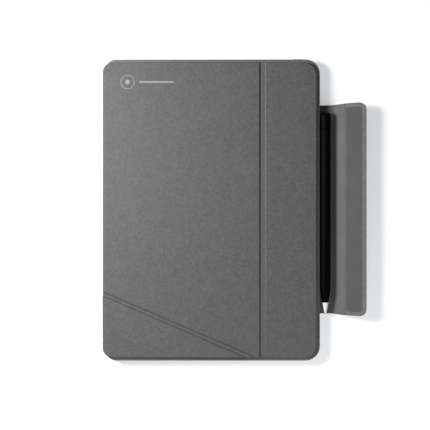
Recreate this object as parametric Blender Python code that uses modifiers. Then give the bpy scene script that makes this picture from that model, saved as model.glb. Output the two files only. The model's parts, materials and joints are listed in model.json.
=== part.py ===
"""Folio case for an 11-inch-class tablet, closed, with its stylus flap open.

The case lies on its back. +X runs from the spine to the flap, +Y to the top
edge and +Z out of the front cover. The origin is the middle of the back's
outer face. Sizes are in metres.
"""

import math

import bmesh
import bpy
from mathutils import Matrix, Vector

MM = 0.001

# The tablet that the case holds.
TABLET_WIDTH = 178.5 * MM
TABLET_LENGTH = 247.6 * MM
TABLET_DEPTH = 5.9 * MM
TABLET_CORNER = 11.5 * MM
TABLET_FIT = 0.15 * MM

# Gaps between neighbouring pieces.
PLY_GAP = 0.25 * MM
CLEARANCE = 0.3 * MM

# Sheet thicknesses.
SKIN = 0.8 * MM
BOARD = 0.8 * MM
LINING = 0.4 * MM
WEB = 0.9 * MM

# Moulded tray.
FLOOR = 1.2 * MM
LEFT_WALL = 1.1 * MM
RIGHT_WALL = 2.0 * MM
END_WALL = 3.5 * MM
LIP_HEIGHT = 0.7 * MM
LIP_REACH = 1.0 * MM
LEFT_CORNER = 9.6 * MM
RIGHT_CORNER = 12.2 * MM
WINDOW_BORDER = 12.0 * MM
WINDOW_CORNER = 5.0 * MM

# Spine, from its outer face inwards.
SPINE_SKIN = 0.75 * MM
SPINE_BOARD = 0.5 * MM
SPINE_PLY_GAP = 0.2 * MM
AXIS_INSET = 0.2 * MM
SPINE_RIM = 0.45 * MM

# Front cover.
COVER_END_INSET = 2.95 * MM
COVER_SIDE_INSET = 2.7 * MM
COVER_HINGE_GAP = 0.85 * MM
COVER_CORNER = 10.7 * MM
BOARD_MARGIN = 1.6 * MM

# Double creases of the cover: a narrow web between two parallel fold lines.
CREASE_PITCH = 3.0 * MM
CREASE_EDGE = 0.7 * MM
WEB_OVERHANG = 0.2 * MM
STRIP_WIDTH = 44.3 * MM
DIAGONAL_ANGLE = math.radians(23.3)
DIAGONAL_TOE = 1.0 * MM
CORNER_SLIT = 1.0 * MM

# Stylus and the tongue that it lies on.
STYLUS_RADIUS = 4.45 * MM
STYLUS_GAP = 0.45 * MM
STYLUS_LENGTH = 170.6 * MM
STYLUS_SHIFT = -2.1 * MM
STYLUS_TAPER = 10.5 * MM
STYLUS_NIB = 9.0 * MM
STYLUS_CAP = 14.0 * MM
STYLUS_CAP_ROUND = 2.6 * MM
NIB_ROOT_RADIUS = 2.75 * MM
NIB_POINT_RADIUS = 0.9 * MM

# Flap.
FLAP_LENGTH = 178.0 * MM
FLAP_SHIFT = 0.6 * MM
FLAP_FLARE = 1.5 * MM
FLAP_LINING = 0.6 * MM
SIDE_TILT = math.radians(36.0)
PAD_TILT = math.radians(10.0)
PAD_WIDTH = 18.1 * MM
PAD_CORNER = 6.0 * MM
PAD_BOARD_MARGIN = 1.9 * MM
FOLD_ROOM = 0.15 * MM

# Openings in the tray.
CAMERA_SIDE = 32.0 * MM
CAMERA_CORNER = 7.0 * MM
CAMERA_MARGIN = 8.0 * MM
CAMERA_TRIM = 1.2 * MM
TRIM_RECESS = 0.15 * MM
SPEAKER_WIDTH = 22.0 * MM
SPEAKER_HEIGHT = 2.6 * MM
SPEAKER_OFFSET = 51.0 * MM
PORT_WIDTH = 13.0 * MM
PORT_HEIGHT = 5.0 * MM
MICROPHONE_SIDE = 1.8 * MM

# Buttons.
BUTTON_LENGTH = 8.5 * MM
BUTTON_HEIGHT = 2.6 * MM
POWER_PROUD = 0.5 * MM
BUTTON_STANDOFF = 0.25 * MM
BUTTON_PITCH = 10.2 * MM
BUTTON_CORNER_GAP = 1.8 * MM

# Steel and magnets.
CATCH_LENGTH = 150.0 * MM
CATCH_WIDTH = 6.0 * MM
MAGNET_LENGTH = 16.0 * MM
MAGNET_WIDTH = 4.5 * MM
PAD_MAGNET_PITCH = 58.0 * MM
WAKE_MAGNET_OFFSET = 92.0 * MM
METAL_INSET = 2.8 * MM

# Round stretches.
ARC_STEPS = 7
TURN_STEPS = 24

# Widths that follow from the pieces side by side.
BAY_WIDTH = TABLET_WIDTH + 2 * TABLET_FIT
BAY_LENGTH = TABLET_LENGTH + 2 * TABLET_FIT
SPINE_WIDTH = SPINE_SKIN + SPINE_PLY_GAP + SPINE_BOARD
CASE_WIDTH = SPINE_WIDTH + PLY_GAP + LEFT_WALL + BAY_WIDTH + RIGHT_WALL
CASE_LENGTH = BAY_LENGTH + 2 * END_WALL
CASE_LEFT = -CASE_WIDTH / 2
CASE_RIGHT = CASE_WIDTH / 2
TRAY_LEFT = CASE_LEFT + SPINE_WIDTH + PLY_GAP
BAY_LEFT = TRAY_LEFT + LEFT_WALL
BAY_RIGHT = BAY_LEFT + BAY_WIDTH

# Heights that follow from the plies.
FLOOR_LOW = SKIN + PLY_GAP
FLOOR_HIGH = FLOOR_LOW + FLOOR
BED_LOW = FLOOR_HIGH + PLY_GAP
BED_HIGH = BED_LOW + LINING
BAY_HIGH = BED_HIGH + TABLET_DEPTH + TABLET_FIT
TRAY_HIGH = BAY_HIGH + LIP_HEIGHT
COVER_LOW = TRAY_HIGH + CLEARANCE
COVER_BOARD_LOW = COVER_LOW + LINING + PLY_GAP
COVER_SKIN_LOW = COVER_BOARD_LOW + BOARD + PLY_GAP
CASE_DEPTH = COVER_SKIN_LOW + SKIN
COVER_MID = (COVER_LOW + CASE_DEPTH) / 2
FOLD_RISE = CREASE_PITCH / 2
BAY_MID = (BED_HIGH + BAY_HIGH) / 2

# Cover outline.
COVER_LEFT = CASE_LEFT + AXIS_INSET + COVER_HINGE_GAP
COVER_RIGHT = CASE_RIGHT - COVER_SIDE_INSET
COVER_TOP = CASE_LENGTH / 2 - COVER_END_INSET
COVER_FOOT = -COVER_TOP
STRIP_LEFT = COVER_RIGHT - STRIP_WIDTH
STRIP_AXIS = STRIP_LEFT - CREASE_EDGE
WEB_AXIS = STRIP_AXIS - CREASE_PITCH
MAIN_RIGHT = WEB_AXIS - CREASE_EDGE
DIAGONAL_FOOT = MAIN_RIGHT - DIAGONAL_TOE - CREASE_EDGE / math.sin(DIAGONAL_ANGLE)
CORNER_LEFT = CASE_LEFT + SPINE_SKIN + CORNER_SLIT
SPINE_HALF = CASE_LENGTH / 2 - max(LEFT_CORNER, RIGHT_CORNER)

# Flap and stylus places.
FLAP_HIGH = SKIN + PLY_GAP + FLAP_LINING
FLAP_MID = FLAP_HIGH / 2
PAD_THICK = SKIN + PLY_GAP + BOARD + PLY_GAP + LINING
STYLUS_X = CASE_RIGHT + STYLUS_GAP + STYLUS_RADIUS
STYLUS_Z = FLAP_HIGH + PLY_GAP + STYLUS_RADIUS
SIDE_AXIS = STYLUS_X + STYLUS_RADIUS + CLEARANCE + FLAP_HIGH / 2
SIDE_LENGTH = CASE_DEPTH + CLEARANCE + PAD_THICK / 2 - FLAP_MID
PAD_AXIS = SIDE_AXIS + SIDE_LENGTH
SIDE_FOLD_GAP = FLAP_HIGH / 2 + FOLD_ROOM
PAD_FOLD_GAP = PAD_THICK / 2 + FOLD_ROOM
TONGUE_RIGHT = SIDE_AXIS - SIDE_FOLD_GAP
CAMERA_X = BAY_RIGHT - CAMERA_MARGIN - CAMERA_SIDE / 2
CAMERA_Y = BAY_LENGTH / 2 - CAMERA_MARGIN - CAMERA_SIDE / 2
VOLUME_PROUD = STYLUS_GAP / 2
BUTTON_TOP = CASE_LENGTH / 2 - RIGHT_CORNER - BUTTON_CORNER_GAP - BUTTON_LENGTH / 2

# Colour, roughness and metallic value of each finish.
FINISHES = {
    "leather": ((0.09, 0.09, 0.092), 0.62, 0.0),
    "microfibre": ((0.105, 0.105, 0.107), 0.95, 0.0),
    "rubber": ((0.1, 0.1, 0.102), 0.55, 0.0),
    "fibreboard": ((0.23, 0.2, 0.165), 0.85, 0.0),
    "steel": ((0.62, 0.62, 0.63), 0.35, 1.0),
    "trim": ((0.02, 0.02, 0.022), 0.3, 0.0),
    "black_plastic": ((0.012, 0.012, 0.013), 0.32, 0.0),
    "white_plastic": ((0.8, 0.8, 0.79), 0.4, 0.0),
}


def clear_scene():
    """Remove every object of the open file."""
    for item in list(bpy.data.objects):
        bpy.data.objects.remove(item, do_unlink=True)


def make_collection(name):
    """Add a collection to the scene."""
    collection = bpy.data.collections.new(name)
    bpy.context.scene.collection.children.link(collection)
    return collection


def make_material(name, finish):
    """Make the material of one piece from its finish."""
    colour, roughness, metallic = FINISHES[finish]
    material = bpy.data.materials.new(f"{name}_{finish}")
    material.use_nodes = True
    shader = material.node_tree.nodes["Principled BSDF"]
    shader.inputs["Base Color"].default_value = (*colour, 1.0)
    shader.inputs["Roughness"].default_value = roughness
    shader.inputs["Metallic"].default_value = metallic
    return material


def rounded(corners):
    """Return an outline through (x, y, radius) corners, each rounded by an arc."""
    outline = []
    for index, (x, y, radius) in enumerate(corners):
        corner = Vector((x, y))
        before = Vector(corners[index - 1][:2]) - corner
        after = Vector(corners[(index + 1) % len(corners)][:2]) - corner
        if radius == 0:
            outline.append(corner)
            continue
        half = before.angle(after) / 2
        inward = (before.normalized() + after.normalized()).normalized()
        centre = corner + inward * radius / math.sin(half)
        start = corner + before.normalized() * radius / math.tan(half) - centre
        end = corner + after.normalized() * radius / math.tan(half) - centre
        turn = start.angle_signed(end)
        for step in range(ARC_STEPS + 1):
            outline.append(centre + Matrix.Rotation(-turn * step / ARC_STEPS, 2) @ start)
    return outline


def rectangle(left, right, low, high, radius=0.0):
    """Return the outline of a rectangle with equal corners."""
    ends = ((left, low), (right, low), (right, high), (left, high))
    return rounded([(x, y, radius) for x, y in ends])


def centred(x, y, width, height, radius=0.0):
    """Return the outline of a rectangle about its middle."""
    half_width, half_height = width / 2, height / 2
    return rectangle(
        x - half_width, x + half_width, y - half_height, y + half_height, radius
    )


def sheet_mesh(name, outlines, thickness):
    """Fill a flat outline, with further outlines as holes, to a thickness about z = 0."""
    curve = bpy.data.curves.new(name, "CURVE")
    curve.dimensions = "2D"
    curve.fill_mode = "BOTH"
    curve.extrude = thickness / 2
    for outline in outlines:
        spline = curve.splines.new("POLY")
        spline.points.add(len(outline) - 1)
        for point, (x, y) in zip(spline.points, outline):
            point.co = (x, y, 0.0, 1.0)
        spline.use_cyclic_u = True
    source = bpy.data.objects.new(name, curve)
    bpy.context.scene.collection.objects.link(source)
    bpy.context.view_layer.update()
    evaluated = source.evaluated_get(bpy.context.evaluated_depsgraph_get())
    mesh = bpy.data.meshes.new_from_object(evaluated)
    mesh.name = name
    bpy.data.objects.remove(source, do_unlink=True)
    bpy.data.curves.remove(curve)
    weld(mesh)
    return mesh


def weld(mesh):
    """Join the loose caps of a mesh to its sides."""
    work = bmesh.new()
    work.from_mesh(mesh)
    bmesh.ops.remove_doubles(work, verts=work.verts, dist=0.001 * MM)
    bmesh.ops.recalc_face_normals(work, faces=work.faces)
    work.to_mesh(mesh)
    work.free()


def add_object(name, mesh, location, collection):
    """Add an object to a collection."""
    item = bpy.data.objects.new(name, mesh)
    item.location = location
    collection.objects.link(item)
    return item


class Builder:
    """Adds the pieces of the case to its collections."""

    def __init__(self):
        self.parts = make_collection("tablet_case")
        self.cutters = make_collection("tablet_case_cutters")
        self.places = {}

    def pivot(self, name, place, parent=None):
        """Add an empty on a joint's axis."""
        empty = bpy.data.objects.new(name, None)
        empty.empty_display_size = 0.02
        empty.location = place
        self.parts.objects.link(empty)
        self.places[empty.name] = Vector(place)
        self.hang(empty, parent)
        return empty

    def hang(self, item, pivot):
        """Parent an object to a pivot and leave it where it is."""
        if pivot is not None:
            item.parent = pivot
            item.matrix_parent_inverse = Matrix.Translation(-self.places[pivot.name])

    def piece(self, name, mesh, finish, location=(0, 0, 0), pivot=None):
        """Add one piece with its own material."""
        mesh.materials.clear()
        mesh.materials.append(make_material(name, finish))
        item = add_object(name, mesh, location, self.parts)
        self.hang(item, pivot)
        return item

    def sheet(self, name, outlines, low, high, finish, pivot=None):
        """Add a flat piece that lies between two heights."""
        mesh = sheet_mesh(name, outlines, high - low)
        return self.piece(name, mesh, finish, (0, 0, (low + high) / 2), pivot)

    def cut(self, item, name, mesh, matrix):
        """Cut a shape out of a piece."""
        cutter = add_object(name, mesh, (0, 0, 0), self.cutters)
        cutter.matrix_world = matrix
        cutter.hide_render = True
        cutter.display_type = "WIRE"
        boolean = item.modifiers.new(name, "BOOLEAN")
        boolean.operation = "DIFFERENCE"
        boolean.solver = "EXACT"
        boolean.object = cutter


def box_mesh(name, size, centre=(0, 0, 0)):
    """Make a box about a centre."""
    mesh = bpy.data.meshes.new(name)
    work = bmesh.new()
    bmesh.ops.create_cube(work, size=1.0)
    bmesh.ops.scale(work, vec=size, verts=work.verts)
    bmesh.ops.translate(work, vec=centre, verts=work.verts)
    work.to_mesh(mesh)
    work.free()
    return mesh


def span_box(name, low, high):
    """Make a box between two opposite corners."""
    low, high = Vector(low), Vector(high)
    return box_mesh(name, high - low, (low + high) / 2)


def facing(axis, centre):
    """Return the placement that turns a flat outline's thickness to run along X or Y."""
    turns = {
        "x": Matrix(((0, 0, 1), (1, 0, 0), (0, 1, 0))).to_4x4(),
        "y": Matrix(((-1, 0, 0), (0, 0, 1), (0, 1, 0))).to_4x4(),
        "z": Matrix.Identity(4),
    }
    return Matrix.Translation(centre) @ turns[axis]


def diagonal_x(offset):
    """Return where a line parallel to the slanting crease meets the cover's foot."""
    return DIAGONAL_FOOT + offset / math.sin(DIAGONAL_ANGLE)


def diagonal_y(offset, x):
    """Return the height of a line parallel to the slanting crease at some x."""
    run = math.sin(DIAGONAL_ANGLE) * (x - DIAGONAL_FOOT)
    return COVER_FOOT + (offset - run) / math.cos(DIAGONAL_ANGLE)


def camera_outline(inset=0.0):
    """Return the outline of the camera opening, or of a ring inside it."""
    side = CAMERA_SIDE - 2 * inset
    return centred(CAMERA_X, CAMERA_Y, side, side, CAMERA_CORNER - inset)


def window_outline(inset=0.0):
    """Return the outline of the tray floor's window, or of the board inside it."""
    high = CAMERA_Y - CAMERA_SIDE / 2 - WINDOW_BORDER
    return rectangle(
        BAY_LEFT + WINDOW_BORDER + inset,
        BAY_RIGHT - WINDOW_BORDER - inset,
        WINDOW_BORDER - BAY_LENGTH / 2 + inset,
        high - inset,
        WINDOW_CORNER - inset,
    )


def bay_outline(inset):
    """Return the outline of the tablet's bay, or of a smaller one inside it."""
    return rectangle(
        BAY_LEFT + inset,
        BAY_RIGHT - inset,
        inset - BAY_LENGTH / 2,
        BAY_LENGTH / 2 - inset,
        TABLET_CORNER + TABLET_FIT - inset,
    )


def tray_outline(left):
    """Return the outline of the tray, or of the skin behind it."""
    end = CASE_LENGTH / 2
    return [
        (left, -end, LEFT_CORNER),
        (CASE_RIGHT, -end, RIGHT_CORNER),
        (CASE_RIGHT, end, RIGHT_CORNER),
        (left, end, LEFT_CORNER),
    ]


def build_tray(case):
    """Add the moulded tray with its bay, window and openings."""
    outline = rounded(tray_outline(TRAY_LEFT))
    tray = case.sheet("tray_shell", [outline], FLOOR_LOW, TRAY_HIGH, "rubber")
    above = TRAY_HIGH + CLEARANCE
    below = FLOOR_LOW - CLEARANCE
    hollows = {
        "bay": (bay_outline(0.0), FLOOR_HIGH, BAY_HIGH),
        "mouth": (bay_outline(LIP_REACH), BAY_HIGH - CLEARANCE, above),
        "window": (window_outline(), below, BED_LOW),
        "camera": (camera_outline(), below, BED_LOW),
    }
    for name, (hollow, low, high) in hollows.items():
        mesh = sheet_mesh(name, [hollow], high - low)
        case.cut(tray, name, mesh, facing("z", (0, 0, (low + high) / 2)))
    for name, x, y, width, height in end_slots():
        depth = 2 * END_WALL
        mesh = sheet_mesh(name, [centred(0, 0, width, height, height / 2.2)], depth)
        case.cut(tray, name, mesh, facing("y", (x, y, BAY_MID)))
    for name, centre, axis in button_places():
        width = BUTTON_LENGTH + 2 * CLEARANCE
        height = BUTTON_HEIGHT + 2 * CLEARANCE
        mesh = sheet_mesh(name, [centred(0, 0, width, height, height / 2.2)], 2 * END_WALL)
        case.cut(tray, f"{name}_window", mesh, facing(axis, centre))
    return tray


def end_slots():
    """Return the name, middle and size of each opening in the end walls."""
    end = (CASE_LENGTH - END_WALL) / 2
    slots = [("port", 0.0, -end, PORT_WIDTH, PORT_HEIGHT)]
    slots.append(("microphone", 0.0, end, MICROPHONE_SIDE, MICROPHONE_SIDE))
    for side, x in (("left", -SPEAKER_OFFSET), ("right", SPEAKER_OFFSET)):
        slots.append((f"speaker_{side}_foot", x, -end, SPEAKER_WIDTH, SPEAKER_HEIGHT))
        slots.append((f"speaker_{side}_top", x, end, SPEAKER_WIDTH, SPEAKER_HEIGHT))
    return slots


def button_places():
    """Return the name, middle of the wall and travel axis of each button."""
    power_x = CASE_RIGHT - RIGHT_CORNER - BUTTON_CORNER_GAP - BUTTON_LENGTH / 2
    power_y = (CASE_LENGTH - END_WALL) / 2
    volume_x = CASE_RIGHT - RIGHT_WALL / 2
    return (
        ("power_button", (power_x, power_y, BAY_MID), "y"),
        ("volume_up_button", (volume_x, BUTTON_TOP, BAY_MID), "x"),
        ("volume_down_button", (volume_x, BUTTON_TOP - BUTTON_PITCH, BAY_MID), "x"),
    )


def build_buttons(case):
    """Add the three buttons that slide through the tray's walls."""
    for name, centre, axis in button_places():
        wall = END_WALL if axis == "y" else RIGHT_WALL
        proud = POWER_PROUD if axis == "y" else VOLUME_PROUD
        depth = wall + proud - BUTTON_STANDOFF
        outline = centred(0, 0, BUTTON_LENGTH, BUTTON_HEIGHT, BUTTON_HEIGHT / 2.2)
        mesh = sheet_mesh(name, [outline], depth)
        shift = Vector((1, 0, 0)) if axis == "x" else Vector((0, 1, 0))
        place = facing(axis, Vector(centre) + shift * (proud + BUTTON_STANDOFF) / 2)
        button = case.piece(name, mesh, "rubber")
        button.matrix_world = place


def build_back(case):
    """Add the plies behind the tablet."""
    foot, high = -CASE_LENGTH / 2, CASE_LENGTH / 2
    flap_foot, flap_top = FLAP_SHIFT - FLAP_LENGTH / 2, FLAP_SHIFT + FLAP_LENGTH / 2
    skin = rounded(
        [
            (COVER_LEFT, foot, LEFT_CORNER),
            (CASE_RIGHT, foot, RIGHT_CORNER),
            (CASE_RIGHT, flap_foot, 0),
            (TONGUE_RIGHT, flap_foot, 0),
            (TONGUE_RIGHT, flap_top, 0),
            (CASE_RIGHT, flap_top, 0),
            (CASE_RIGHT, high, RIGHT_CORNER),
            (COVER_LEFT, high, LEFT_CORNER),
        ]
    )
    case.sheet("back_skin", [skin, camera_outline()], 0.0, SKIN, "leather")
    board_low = FLOOR_LOW + (FLOOR - BOARD) / 2
    window = window_outline(CLEARANCE)
    case.sheet("back_board", [window], board_low, board_low + BOARD, "fibreboard")
    bed = [bay_outline(CLEARANCE), camera_outline()]
    case.sheet("back_lining", bed, BED_LOW, BED_HIGH, "microfibre")
    ring = [camera_outline(CLEARANCE), camera_outline(CLEARANCE + CAMERA_TRIM)]
    case.sheet("camera_trim", ring, TRIM_RECESS, BED_HIGH - TRIM_RECESS, "trim")
    tongue = rectangle(CASE_RIGHT + PLY_GAP, TONGUE_RIGHT, flap_foot, flap_top)
    case.sheet("tongue_lining", [tongue], SKIN + PLY_GAP, FLAP_HIGH, "microfibre")


def build_spine(case, pivot):
    """Add the spine that joins the back to the front cover."""
    skin_high = CASE_DEPTH - SPINE_RIM
    skin = span_box(
        "spine_skin",
        (CASE_LEFT, -SPINE_HALF, SPINE_RIM),
        (CASE_LEFT + SPINE_SKIN, SPINE_HALF, skin_high),
    )
    case.piece("spine_skin", skin, "leather", pivot=pivot)
    board_left = CASE_LEFT + SPINE_SKIN + SPINE_PLY_GAP
    board = span_box(
        "spine_board",
        (board_left, BOARD_MARGIN - SPINE_HALF, SKIN + CLEARANCE),
        (board_left + SPINE_BOARD, SPINE_HALF - BOARD_MARGIN, COVER_LOW - CLEARANCE),
    )
    case.piece("spine_board", board, "fibreboard", pivot=pivot)


def main_outline(inset):
    """Return the outline of the cover's main panel, or of a ply inside it."""
    left, right = COVER_LEFT + inset, MAIN_RIGHT - inset
    top, foot = COVER_TOP - inset, COVER_FOOT + inset
    line = CREASE_EDGE + inset
    slant_foot = diagonal_x(line) - inset / math.tan(DIAGONAL_ANGLE)
    corners = [(left, top, COVER_CORNER - inset), (left, diagonal_y(line, left), 0)]
    if slant_foot < right:
        corners += [(slant_foot, foot, 0), (right, foot, 0)]
    else:
        corners.append((right, diagonal_y(line, right), 0))
    corners.append((right, top, 0))
    return rounded(corners)


def strip_outline(inset):
    """Return the outline of the cover's fold strip, or of a ply inside it."""
    left, right = STRIP_LEFT + inset, COVER_RIGHT - inset
    top, foot, radius = COVER_TOP - inset, COVER_FOOT + inset, COVER_CORNER - inset
    corners = [(left, foot, 0), (right, foot, radius), (right, top, radius)]
    return rounded([*corners, (left, top, 0)])


def corner_outline(inset):
    """Return the outline of the cover's corner panel, or of a ply inside it."""
    line = -(CREASE_PITCH + CREASE_EDGE + inset)
    left, foot = CORNER_LEFT + inset, COVER_FOOT + inset
    slant_foot = diagonal_x(line) - inset / math.tan(DIAGONAL_ANGLE)
    corners = [(left, diagonal_y(line, left), 0), (left, foot, COVER_CORNER - inset)]
    return rounded([*corners, (slant_foot, foot, 0)])


def build_panel(case, name, outline, pivot, pockets=()):
    """Add the skin, board and lining of one panel of the cover."""
    low = COVER_BOARD_LOW
    board = [outline(BOARD_MARGIN), *pockets]
    case.sheet(f"{name}_skin", [outline(0.0)], COVER_SKIN_LOW, CASE_DEPTH, "leather", pivot)
    case.sheet(f"{name}_board", board, low, low + BOARD, "fibreboard", pivot)
    lining = [outline(0.0)]
    case.sheet(f"{name}_lining", lining, COVER_LOW, COVER_LOW + LINING, "microfibre", pivot)


def build_web(case, name, outline, pivot):
    """Add the narrow web of a double crease."""
    low = COVER_MID - WEB / 2
    case.sheet(name, [outline], low, low + WEB, "leather", pivot)


def set_in(case, name, centre, width, length, level, finish, pivot):
    """Add a metal bar that sits in a board, and return the outline of its pocket."""
    x, y = centre
    inside = [centred(x, y, width, length)]
    case.sheet(name, inside, level, level + BOARD, finish, pivot)
    return centred(x, y, width + 2 * CLEARANCE, length + 2 * CLEARANCE)


def build_cover(case, spine):
    """Add the front cover's three panels and the webs between them."""
    hinge = (CASE_LEFT + AXIS_INSET, 0, CASE_DEPTH - AXIS_INSET)
    main = case.pivot("cover_pivot", hinge, spine)
    build_panel(case, "main", main_outline, main)

    fold_high = COVER_MID + FOLD_RISE
    web = case.pivot("strip_web_pivot", (WEB_AXIS, 0, COVER_MID), main)
    reach = WEB_OVERHANG
    outline = rectangle(WEB_AXIS - reach, STRIP_AXIS + reach, COVER_FOOT, COVER_TOP)
    build_web(case, "strip_web", outline, web)
    middle = (WEB_AXIS + STRIP_AXIS) / 2
    strip = case.pivot("strip_pivot", (middle, 0, fold_high), main)
    metal_x = COVER_RIGHT - METAL_INSET - CATCH_WIDTH / 2
    pockets = []
    bars = [("catch_plate", 0.0, CATCH_WIDTH, CATCH_LENGTH)]
    bars.append(("wake_magnet_top", WAKE_MAGNET_OFFSET, MAGNET_WIDTH, MAGNET_LENGTH))
    bars.append(("wake_magnet_foot", -WAKE_MAGNET_OFFSET, MAGNET_WIDTH, MAGNET_LENGTH))
    for name, y, width, length in bars:
        place = (metal_x, y)
        level = COVER_BOARD_LOW
        pockets.append(set_in(case, name, place, width, length, level, "steel", strip))
    build_panel(case, "strip", strip_outline, strip, pockets)

    near, far = WEB_OVERHANG, -(CREASE_PITCH + WEB_OVERHANG)
    axis = (CORNER_LEFT, diagonal_y(0.0, CORNER_LEFT), COVER_MID)
    slant_web = case.pivot("corner_web_pivot", axis, main)
    outline = [
        (CORNER_LEFT, diagonal_y(near, CORNER_LEFT)),
        (CORNER_LEFT, diagonal_y(far, CORNER_LEFT)),
        (diagonal_x(far), COVER_FOOT),
        (diagonal_x(near), COVER_FOOT),
    ]
    build_web(case, "corner_web", outline, slant_web)
    axis = (CORNER_LEFT, diagonal_y(-CREASE_PITCH / 2, CORNER_LEFT), fold_high)
    corner = case.pivot("corner_pivot", axis, main)
    build_panel(case, "corner", corner_outline, corner)


def flap_half(x):
    """Return half the flap's length at some distance along it."""
    share = (x - SIDE_AXIS) / (PAD_AXIS + PAD_WIDTH - SIDE_AXIS)
    return FLAP_LENGTH / 2 + FLAP_FLARE * max(share, 0.0)


def flap_outline(left, right, inset=0.0, radius=0.0):
    """Return the outline of one panel of the flap, which widens outwards."""
    near, far = flap_half(left) - inset, flap_half(right) - inset
    left, right, middle = left + inset, right - inset, FLAP_SHIFT
    corners = [(left, middle - near, 0), (right, middle - far, radius)]
    return rounded([*corners, (right, middle + far, radius), (left, middle + near, 0)])


def build_flap(case):
    """Add the flap, open and tilted up from the tongue."""
    side = case.pivot("flap_side_pivot", (SIDE_AXIS, 0, FLAP_MID))
    panel = [flap_outline(SIDE_AXIS + SIDE_FOLD_GAP, PAD_AXIS - PAD_FOLD_GAP)]
    case.sheet("flap_side_skin", panel, 0.0, SKIN, "leather", side)
    case.sheet("flap_side_lining", panel, SKIN + PLY_GAP, FLAP_HIGH, "microfibre", side)

    pad = case.pivot("flap_pad_pivot", (PAD_AXIS, 0, FLAP_MID), side)
    left, right = PAD_AXIS + SIDE_FOLD_GAP, PAD_AXIS + PAD_WIDTH
    outline = [flap_outline(left, right, 0.0, PAD_CORNER)]
    low = FLAP_MID - PAD_THICK / 2
    board_low = low + SKIN + PLY_GAP
    lining_low = board_low + BOARD + PLY_GAP
    case.sheet("flap_pad_skin", outline, low, low + SKIN, "leather", pad)
    case.sheet(
        "flap_pad_lining", outline, lining_low, lining_low + LINING, "microfibre", pad
    )
    margin = PAD_BOARD_MARGIN
    board = [flap_outline(left, right, margin, PAD_CORNER - margin)]
    magnet_x = right - METAL_INSET - MAGNET_WIDTH / 2
    for name, step in (("foot", -1), ("middle", 0), ("top", 1)):
        magnet = f"flap_magnet_{name}"
        place = (magnet_x, FLAP_SHIFT + step * PAD_MAGNET_PITCH)
        size = (MAGNET_WIDTH, MAGNET_LENGTH)
        board.append(set_in(case, magnet, place, *size, board_low, "steel", pad))
    case.sheet("flap_pad_board", board, board_low, board_low + BOARD, "fibreboard", pad)
    side.rotation_euler.y = -SIDE_TILT
    pad.rotation_euler.y = SIDE_TILT - PAD_TILT


def turned(case, name, profile, finish, pivot):
    """Add a piece turned about the stylus's axis from a profile, top to bottom."""
    mesh = bpy.data.meshes.new(name)
    work = bmesh.new()
    rings = [work.verts.new((radius, 0, height)) for radius, height in profile]
    for upper, lower in zip(rings, rings[1:]):
        work.edges.new((upper, lower))
    work.to_mesh(mesh)
    work.free()
    item = case.piece(name, mesh, finish)
    screw = item.modifiers.new("turn", "SCREW")
    screw.steps = TURN_STEPS
    screw.render_steps = TURN_STEPS
    screw.use_merge_vertices = True
    screw.merge_threshold = 0.01 * MM
    item.parent = pivot
    item.matrix_parent_inverse = Matrix.Identity(4)
    item.rotation_euler.x = -math.pi / 2
    return item


def build_stylus(case):
    """Add the stylus, held in the bend of the flap, with its nib to the foot."""
    pivot = case.pivot("stylus_pivot", (STYLUS_X, STYLUS_SHIFT, STYLUS_Z))
    top = STYLUS_LENGTH / 2
    nib_root = STYLUS_NIB - top
    cap_foot = top - STYLUS_CAP
    cap = [(0.0, top)]
    for step in range(1, ARC_STEPS + 1):
        angle = math.pi / 2 * step / ARC_STEPS
        radius = STYLUS_RADIUS - STYLUS_CAP_ROUND * (1 - math.sin(angle))
        cap.append((radius, top - STYLUS_CAP_ROUND * (1 - math.cos(angle))))
    cap += [(STYLUS_RADIUS, cap_foot), (0.0, cap_foot)]
    turned(case, "stylus_cap", cap, "black_plastic", pivot)
    barrel_top = cap_foot - CLEARANCE
    barrel_foot = nib_root + CLEARANCE
    barrel = [(0.0, barrel_top), (STYLUS_RADIUS, barrel_top)]
    barrel += [(STYLUS_RADIUS, barrel_foot + STYLUS_TAPER), (NIB_ROOT_RADIUS, barrel_foot)]
    barrel.append((0.0, barrel_foot))
    turned(case, "stylus_barrel", barrel, "black_plastic", pivot)
    nib = [(0.0, nib_root), (NIB_ROOT_RADIUS, nib_root)]
    nib += [(NIB_POINT_RADIUS, NIB_POINT_RADIUS / 2 - top), (0.0, -top)]
    turned(case, "stylus_nib", nib, "white_plastic", pivot)


def main():
    """Build the case from the back to the front."""
    clear_scene()
    case = Builder()
    build_back(case)
    build_tray(case)
    build_buttons(case)
    spine = case.pivot("spine_pivot", (CASE_LEFT + AXIS_INSET, 0, AXIS_INSET))
    build_spine(case, spine)
    build_cover(case, spine)
    build_flap(case)
    build_stylus(case)


main()
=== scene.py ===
"""Studio scene of a closed folio case for a tablet, with its stylus flap open.

The case lies on its back: +X runs from the spine to the flap, +Y to the top
edge and +Z out of the front cover. Sizes are in metres.
"""

import json
import logging
import math
from collections.abc import Callable, Sequence
from dataclasses import dataclass, field
from enum import Enum

import bmesh
import bpy
from mathutils import Matrix, Vector


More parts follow.
